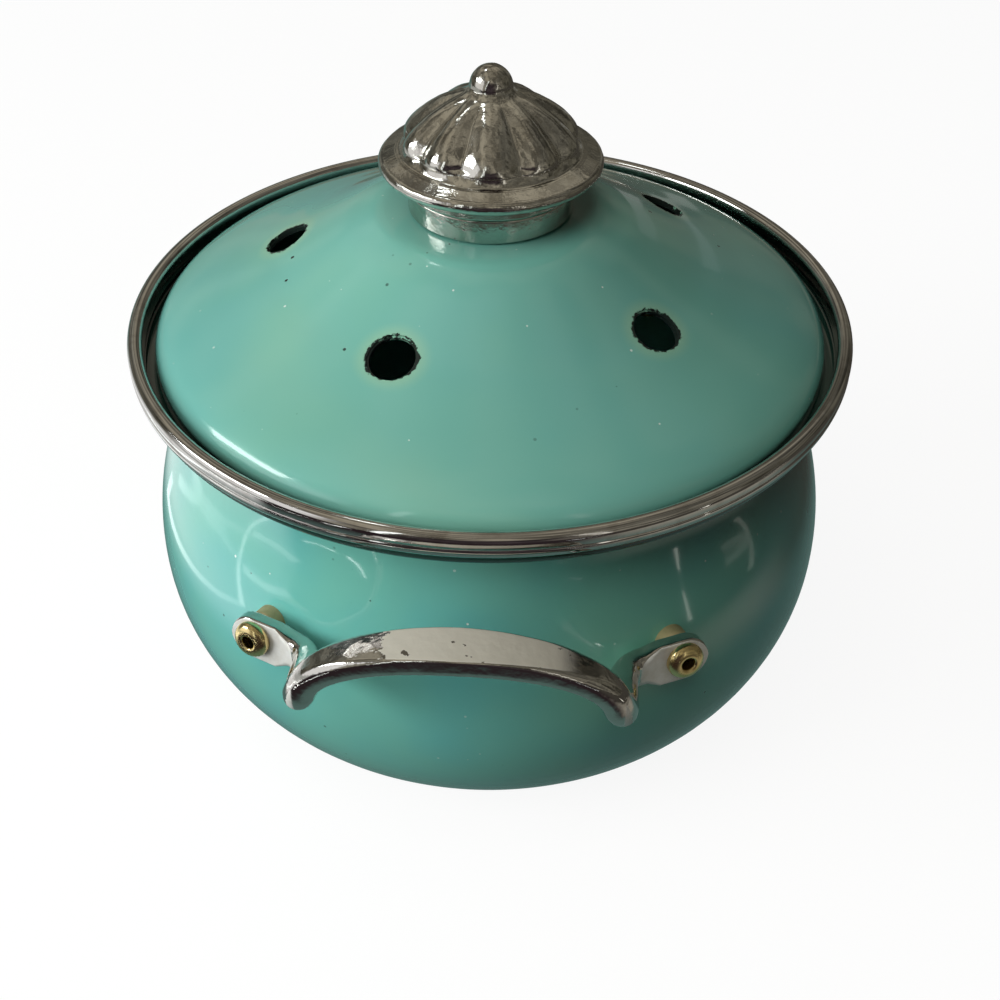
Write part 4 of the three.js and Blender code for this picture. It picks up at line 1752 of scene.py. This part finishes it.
@dataclass(frozen=True)
class Tent:
    """A dark tent round the object, open on the window's side, that only gloss sees."""

    radius: float = 1.3
    front: Colour = (0.040, 0.031, 0.034)
    front_right: Colour = (0.17, 0.16, 0.13)
    right: Colour = (0.085, 0.08, 0.062)
    back: Colour = (0.085, 0.08, 0.063)
    back_left: Colour = (0.17, 0.17, 0.145)
    upper: Colour = (0.245, 0.225, 0.178)
    upper_right: Colour = (0.10, 0.095, 0.078)
    # Where one side gives way to the next: degrees each way from the front
    front_ends: tuple[float, float] = (12, 38)
    front_right_ends: tuple[float, float] = (58, 84)
    right_ends: tuple[float, float] = (108, 150)
    opening_starts: tuple[float, float] = (-50, -36)
    opening_ends: tuple[float, float] = (-98, -86)
    # Shares of the tent's height
    upper_shares: tuple[float, float] = (0.44, 0.72)
    opening_top_shares: tuple[float, float] = (0.56, 0.7)
    # Light and dark patches all over
    patch_scale: float = 3.2
    patch_from: tuple[float, float] = (0.32, 0.68)
    patch_glow: tuple[float, float] = (0.45, 1.8)

    def build(self) -> None:
        """Sets the tent up round the object."""
        clear_selection()
        bpy.ops.mesh.primitive_uv_sphere_add(segments=48, ring_count=24, radius=self.radius,
                                             location=(0, 0, 0))
        tent = bpy.context.object
        tent.name = "tent"
        bpy.ops.object.shade_smooth()
        material = bpy.data.materials.new("dark tent")
        material.use_nodes = True
        desk = NodeDesk(material.node_tree)
        desk.tree.nodes.clear()
        place = desk.add("ShaderNodeSeparateXYZ")
        desk.feed(place.inputs[0], desk.add("ShaderNodeTexCoord").outputs["Object"])
        x, y, z = place.outputs
        around = desk.math("DEGREES", desk.math("ARCTAN2", x, desk.math("MULTIPLY", y, -1.0)))
        away = desk.math("ABSOLUTE", around)
        rise = desk.math("DIVIDE", z, self.radius)
        back = desk.mix(desk.ramp(x, -0.6 * self.radius, -0.1 * self.radius), self.back_left,
                        self.back)
        colour = desk.mix(desk.ramp(away, *self.front_ends), self.front, self.front_right)
        colour = desk.mix(desk.ramp(away, *self.front_right_ends), colour, self.right)
        colour = desk.mix(desk.ramp(away, *self.right_ends), colour, back)
        upper = desk.mix(desk.ramp(x, 0.1 * self.radius, 0.6 * self.radius), self.upper,
                         self.upper_right)
        colour = desk.mix(desk.ramp(rise, *self.upper_shares), colour, upper)
        opening = desk.math("MULTIPLY", desk.ramp(around, *self.opening_starts, 1.0, 0.0),
                            desk.ramp(around, *self.opening_ends))
        opening = desk.math("MULTIPLY", opening, desk.ramp(rise, *self.opening_top_shares, 1.0, 0.0))
        cloth = desk.add("ShaderNodeEmission")
        desk.feed(cloth.inputs["Color"], colour)
        around_it = desk.add("ShaderNodeTexCoord").outputs["Object"]
        desk.feed(cloth.inputs["Strength"],
                  desk.ramp(desk.noise(around_it, self.patch_scale, 1.4), *self.patch_from,
                            *self.patch_glow))
        chosen = desk.add("ShaderNodeMixShader")
        desk.feed(chosen.inputs[0], opening)
        desk.feed(chosen.inputs[1], cloth.outputs[0])
        desk.feed(chosen.inputs[2], desk.add("ShaderNodeBsdfTransparent").outputs[0])
        out = desk.add("ShaderNodeOutputMaterial")
        desk.feed(out.inputs["Surface"], chosen.outputs[0])
        tent.data.materials.append(material)
        for_gloss_only(tent)


def direction(azimuth: float, elevation: float) -> Vector:
    """Args:
        azimuth: 0 is towards -Y and 90 towards +X, in degrees.
        elevation: Above the horizon, in degrees.

    Returns:
        The unit vector.
    """
    a, e = math.radians(azimuth), math.radians(elevation)
    return Vector((math.sin(a) * math.cos(e), -math.cos(a) * math.cos(e), math.sin(e)))


@dataclass
class Studio:
    """The camera, the floor, the world and the soft lights."""

    camera_place: Vector = field(default_factory=lambda: Vector((0.0148, -0.2496, 0.2524)))
    camera_azimuth: float = 3.4
    camera_fall: float = 40.48
    camera_roll: float = 0.3
    camera_lens: float = 46.55
    camera_shift: float = 0.011
    floor_size: float = 12.0
    floor_colour: Colour = (0.11, 0.11, 0.108)
    floor_lift: float = 0.91
    floor_dark: Colour = (0.030, 0.021, 0.024)
    floor_side: Colour = (0.34, 0.32, 0.27)
    floor_far: Colour = (0.065, 0.06, 0.05)
    floor_back_left: Colour = (0.14, 0.22, 0.20)
    # Painted shade of the pot on the floor as gloss shows it, close round the pot
    floor_near_painted_shade: Colour = (0.10, 0.17, 0.155)
    floor_white: Colour = (1.0, 1.0, 1.0)
    floor_dim_white: Colour = (0.5, 0.52, 0.50)
    # Degrees round the object, and metres from it
    front_ends: tuple[float, float] = (20, 44)
    back_starts: tuple[float, float] = (74, 98)
    window_starts: tuple[float, float] = (-61, -53)
    window_ends: tuple[float, float] = (-130, -118)
    window_reach: tuple[float, float] = (0.2, 0.5)
    right_reach: tuple[float, float] = (0.19, 0.26)
    back_split: tuple[float, float] = (-0.085, 0.0)
    near_reach: tuple[float, float] = (0.12, 0.18)
    window_side_fill: float = 0.33
    far_side_fill: float = 0.006

    def build_camera(self) -> None:
        """Sets the camera at the photograph's viewing angle."""
        data = bpy.data.cameras.new("view")
        camera = bpy.data.objects.new("view", data)
        bpy.context.scene.collection.objects.link(camera)
        data.lens = self.camera_lens
        data.sensor_width = 36.0
        data.shift_x = self.camera_shift
        data.clip_start = 0.01
        data.dof.use_dof = False
        back = direction(self.camera_azimuth, self.camera_fall)
        turn = (-back).to_track_quat("-Z", "Y") @ Quaternion((0, 0, 1), math.radians(self.camera_roll))
        camera.rotation_mode = "QUATERNION"
        camera.location = self.camera_place
        camera.rotation_quaternion = turn
        bpy.context.scene.camera = camera

    def build_floor(self) -> None:
        """Lays the pale floor, which takes the object's shadow."""
        clear_selection()
        bpy.ops.mesh.primitive_plane_add(size=self.floor_size, location=(0, 0, 0))
        floor = bpy.context.object
        floor.name = "floor"
        material = bpy.data.materials.new("pale floor")
        material.use_nodes = True
        desk = NodeDesk(material.node_tree)
        desk.tree.nodes.clear()
        matt = desk.add("ShaderNodeBsdfDiffuse")
        matt.inputs["Color"].default_value = (*self.floor_colour, 1)
        path = desk.add("ShaderNodeLightPath")
        lift = desk.add("ShaderNodeEmission")
        desk.feed(lift.inputs["Strength"],
                  desk.math("MULTIPLY", path.outputs["Is Camera Ray"], self.floor_lift))
        both = desk.add("ShaderNodeAddShader")
        desk.feed(both.inputs[0], matt.outputs[0])
        desk.feed(both.inputs[1], lift.outputs[0])
        mirrored = desk.add("ShaderNodeEmission")
        desk.feed(mirrored.inputs["Color"], self.mirrored_floor(desk))
        chosen = desk.add("ShaderNodeMixShader")
        desk.feed(chosen.inputs[0], desk.math("MAXIMUM", path.outputs["Is Glossy Ray"],
                                              path.outputs["Is Transmission Ray"]))
        desk.feed(chosen.inputs[1], both.outputs[0])
        desk.feed(chosen.inputs[2], mirrored.outputs[0])
        out = desk.add("ShaderNodeOutputMaterial")
        desk.feed(out.inputs["Surface"], chosen.outputs[0])
        floor.data.materials.append(material)

    def mirrored_floor(self, desk: NodeDesk) -> bpy.types.NodeSocket:
        """The floor as gloss shows it: white on the window's side, darker in front and at right.

        Args:
            desk: The desk of the floor's tree.

        Returns:
            The colour.
        """
        apart = desk.add("ShaderNodeSeparateXYZ")
        desk.feed(apart.inputs[0], desk.add("ShaderNodeTexCoord").outputs["Object"])
        x, y = apart.outputs[0], apart.outputs[1]
        around = desk.math("DEGREES", desk.math("ARCTAN2", x, desk.math("MULTIPLY", y, -1.0)))
        away = desk.math("ABSOLUTE", around)
        radius = desk.math("SQRT", desk.math("ADD", desk.math("MULTIPLY", x, x),
                                             desk.math("MULTIPLY", y, y)))
        right = desk.mix(desk.ramp(radius, *self.right_reach), self.floor_side, self.floor_far)
        colour = desk.mix(desk.ramp(around, *self.front_ends), self.floor_dark, right)
        behind = desk.mix(desk.ramp(x, *self.back_split), self.floor_back_left, self.floor_far)
        colour = desk.mix(desk.ramp(away, *self.back_starts), colour, behind)
        window = desk.mix(desk.ramp(radius, *self.window_reach), self.floor_white,
                          self.floor_dim_white)
        lit = desk.math("MULTIPLY", desk.ramp(around, *self.window_starts, 1.0, 0.0),
                        desk.ramp(around, *self.window_ends))
        colour = desk.mix(lit, colour, window)
        # Close round the pot the mirrored floor takes a painted shade
        return desk.mix(desk.ramp(radius, *self.near_reach), self.floor_near_painted_shade, colour)

    def build_world(self) -> None:
        """A white surround for what is seen, and a weaker fill for what is lit."""
        world = bpy.data.worlds.new("studio")
        bpy.context.scene.world = world
        world.use_nodes = True
        desk = NodeDesk(world.node_tree)
        desk.tree.nodes.clear()
        white = desk.add("ShaderNodeBackground")
        white.inputs["Strength"].default_value = 1.0
        white.inputs["Color"].default_value = (1, 1, 1, 1)
        fill = desk.add("ShaderNodeBackground")
        apart = desk.add("ShaderNodeSeparateXYZ")
        desk.feed(apart.inputs[0], desk.add("ShaderNodeTexCoord").outputs["Generated"])
        desk.feed(fill.inputs["Color"], desk.mix(desk.ramp(apart.outputs[0], -0.5, 0.5),
                                                 (0.92, 1.0, 1.05), (1.0, 0.93, 0.76)))
        desk.feed(fill.inputs["Strength"], desk.ramp(
            apart.outputs[0], -0.7, 0.4, self.window_side_fill, self.far_side_fill))
        path = desk.add("ShaderNodeLightPath")
        seen = desk.math("MAXIMUM", path.outputs["Is Camera Ray"], desk.math(
            "MAXIMUM", path.outputs["Is Glossy Ray"], path.outputs["Is Transmission Ray"]))
        chosen = desk.add("ShaderNodeMixShader")
        desk.feed(chosen.inputs[0], seen)
        desk.feed(chosen.inputs[1], fill.outputs[0])
        desk.feed(chosen.inputs[2], white.outputs[0])
        out = desk.add("ShaderNodeOutputWorld")
        desk.feed(out.inputs["Surface"], chosen.outputs[0])

    @staticmethod
    def build_lamp(name: str, azimuth: float, elevation: float, distance: float,
                   size: tuple[float, float], power: float, colour: Colour) -> None:
        """Sets up one soft area lamp that faces the object and leaves gloss to the tent and the strips.

        Args:
            name: The lamp's name.
            azimuth: Where it stands, in degrees.
            elevation: How high, in degrees.
            distance: How far from the object.
            size: The width and height of its face.
            power: Its power in watts.
            colour: Its colour.
        """
        data = bpy.data.lights.new(name, "AREA")
        data.shape = "RECTANGLE"
        data.size, data.size_y = size
        data.energy = power
        data.color = colour
        lamp = bpy.data.objects.new(name, data)
        bpy.context.scene.collection.objects.link(lamp)
        away = direction(azimuth, elevation)
        lamp.location = away * distance
        lamp.rotation_mode = "QUATERNION"
        lamp.rotation_quaternion = away.to_track_quat("Z", "Y")
        lamp.visible_camera = False
        lamp.visible_glossy = False

    def build(self) -> None:
        """Builds the whole studio."""
        self.build_camera()
        self.build_floor()
        self.build_world()
        self.build_lamp("window light", -68.0, 20.0, 1.5, (1.0, 0.9), 23.5, (0.97, 1.0, 1.01))
        self.build_lamp("upper light", -22.0, 67.0, 1.6, (1.0, 1.0), 8.5, (1.0, 0.97, 0.90))
        Tent().build()
        lit = 0.001
        strips = [
            GlowStrip("sill near the pot", (
                (-0.163, 0.052, lit), (-0.142, 0.040, lit), (-0.144, 0.020, lit), (-0.155, -0.024, lit),
                (-0.164, -0.053, lit), (-0.183, -0.088, lit)), 0.010, 1.8, flat=True),
            GlowStrip("far sill", (
                (-0.188, 0.049, lit), (-0.250, 0.013, lit), (-0.290, -0.042, lit),
                (-0.305, -0.102, lit)), 0.009, 1.7, flat=True),
            GlowStrip("window bar", (
                (-0.330, -0.099, lit), (-0.292, -0.094, lit), (-0.236, -0.091, lit),
                (-0.181, -0.088, lit)), 0.007, 3.2, flat=True),
            GlowStrip("second window bar", (
                (-0.292, -0.105, lit), (-0.293, -0.155, lit), (-0.327, -0.233, lit)), 0.026, 2.4,
                flat=True),
            GlowStrip("near curve", (
                (-0.188, -0.149, lit), (-0.161, -0.155, lit), (-0.157, -0.179, lit)), 0.004, 6.0,
                flat=True),
            GlowStrip("far curve", (
                (-0.150, -0.197, lit), (-0.164, -0.239, lit), (-0.218, -0.343, lit)), 0.005, 6.0,
                flat=True),
            GlowStrip("door edge", ((0.380, -0.214, lit), (0.235, -0.142, lit)), 0.006, 2.2,
                      (1.0, 1.0, 0.9), flat=True),
            GlowStrip("door top", (
                (0.151, -0.353, lit), (0.141, -0.285, lit), (0.177, -0.303, lit)), 0.010, 1.6,
                flat=True),
            GlowStrip("door panel", (
                (0.346, -0.090, lit), (0.310, -0.023, lit), (0.254, -0.039, lit)), 0.012, 0.5,
                (1.0, 0.98, 0.85), flat=True),
            GlowStrip("window head", (
                sky_point(-94, 24), sky_point(-86, 31), sky_point(-76, 34), sky_point(-66, 34)),
                0.14, 10.0),
            GlowStrip("roof light", ((-0.066, 0.043, 0.295), (-0.058, 0.061, 0.295)), 0.02, 6.0),
            GlowStrip("left post", (sky_point(-26, 3), sky_point(-24, 44)), 0.05, 2.2),
            GlowStrip("right post", (sky_point(34, 2), sky_point(30, 38)), 0.05, 1.2,
                      (1.0, 0.97, 0.88)),
            GlowStrip("far doorway", (
                sky_point(168, -8, 0.6), sky_point(161, 2, 0.6), sky_point(153, 11, 0.6),
                sky_point(147, 18, 0.6)), 0.022, 0.22, (1.0, 1.0, 0.92)),
        ]
        for strip in strips:
            strip.build()
        bpy.context.scene.view_settings.view_transform = "Standard"


def main() -> None:
    """Builds the object and its studio."""
    logging.basicConfig(level=logging.INFO, format="%(message)s")
    Studio().build()
    finishes = Finishes()
    stacks = [RivetStack(end, hand) for end in ("front", "rear") for hand in ("left", "right")]
    PotBody().build(finishes, stacks)
    RimBand().build(finishes)
    Lid().build(finishes)
    Knob().build(finishes)
    for stack in stacks:
        stack.build(finishes)
    for end in ("front", "rear"):
        Handle(end).build(finishes)
    clear_selection()


if __name__ == "__main__":
    main()
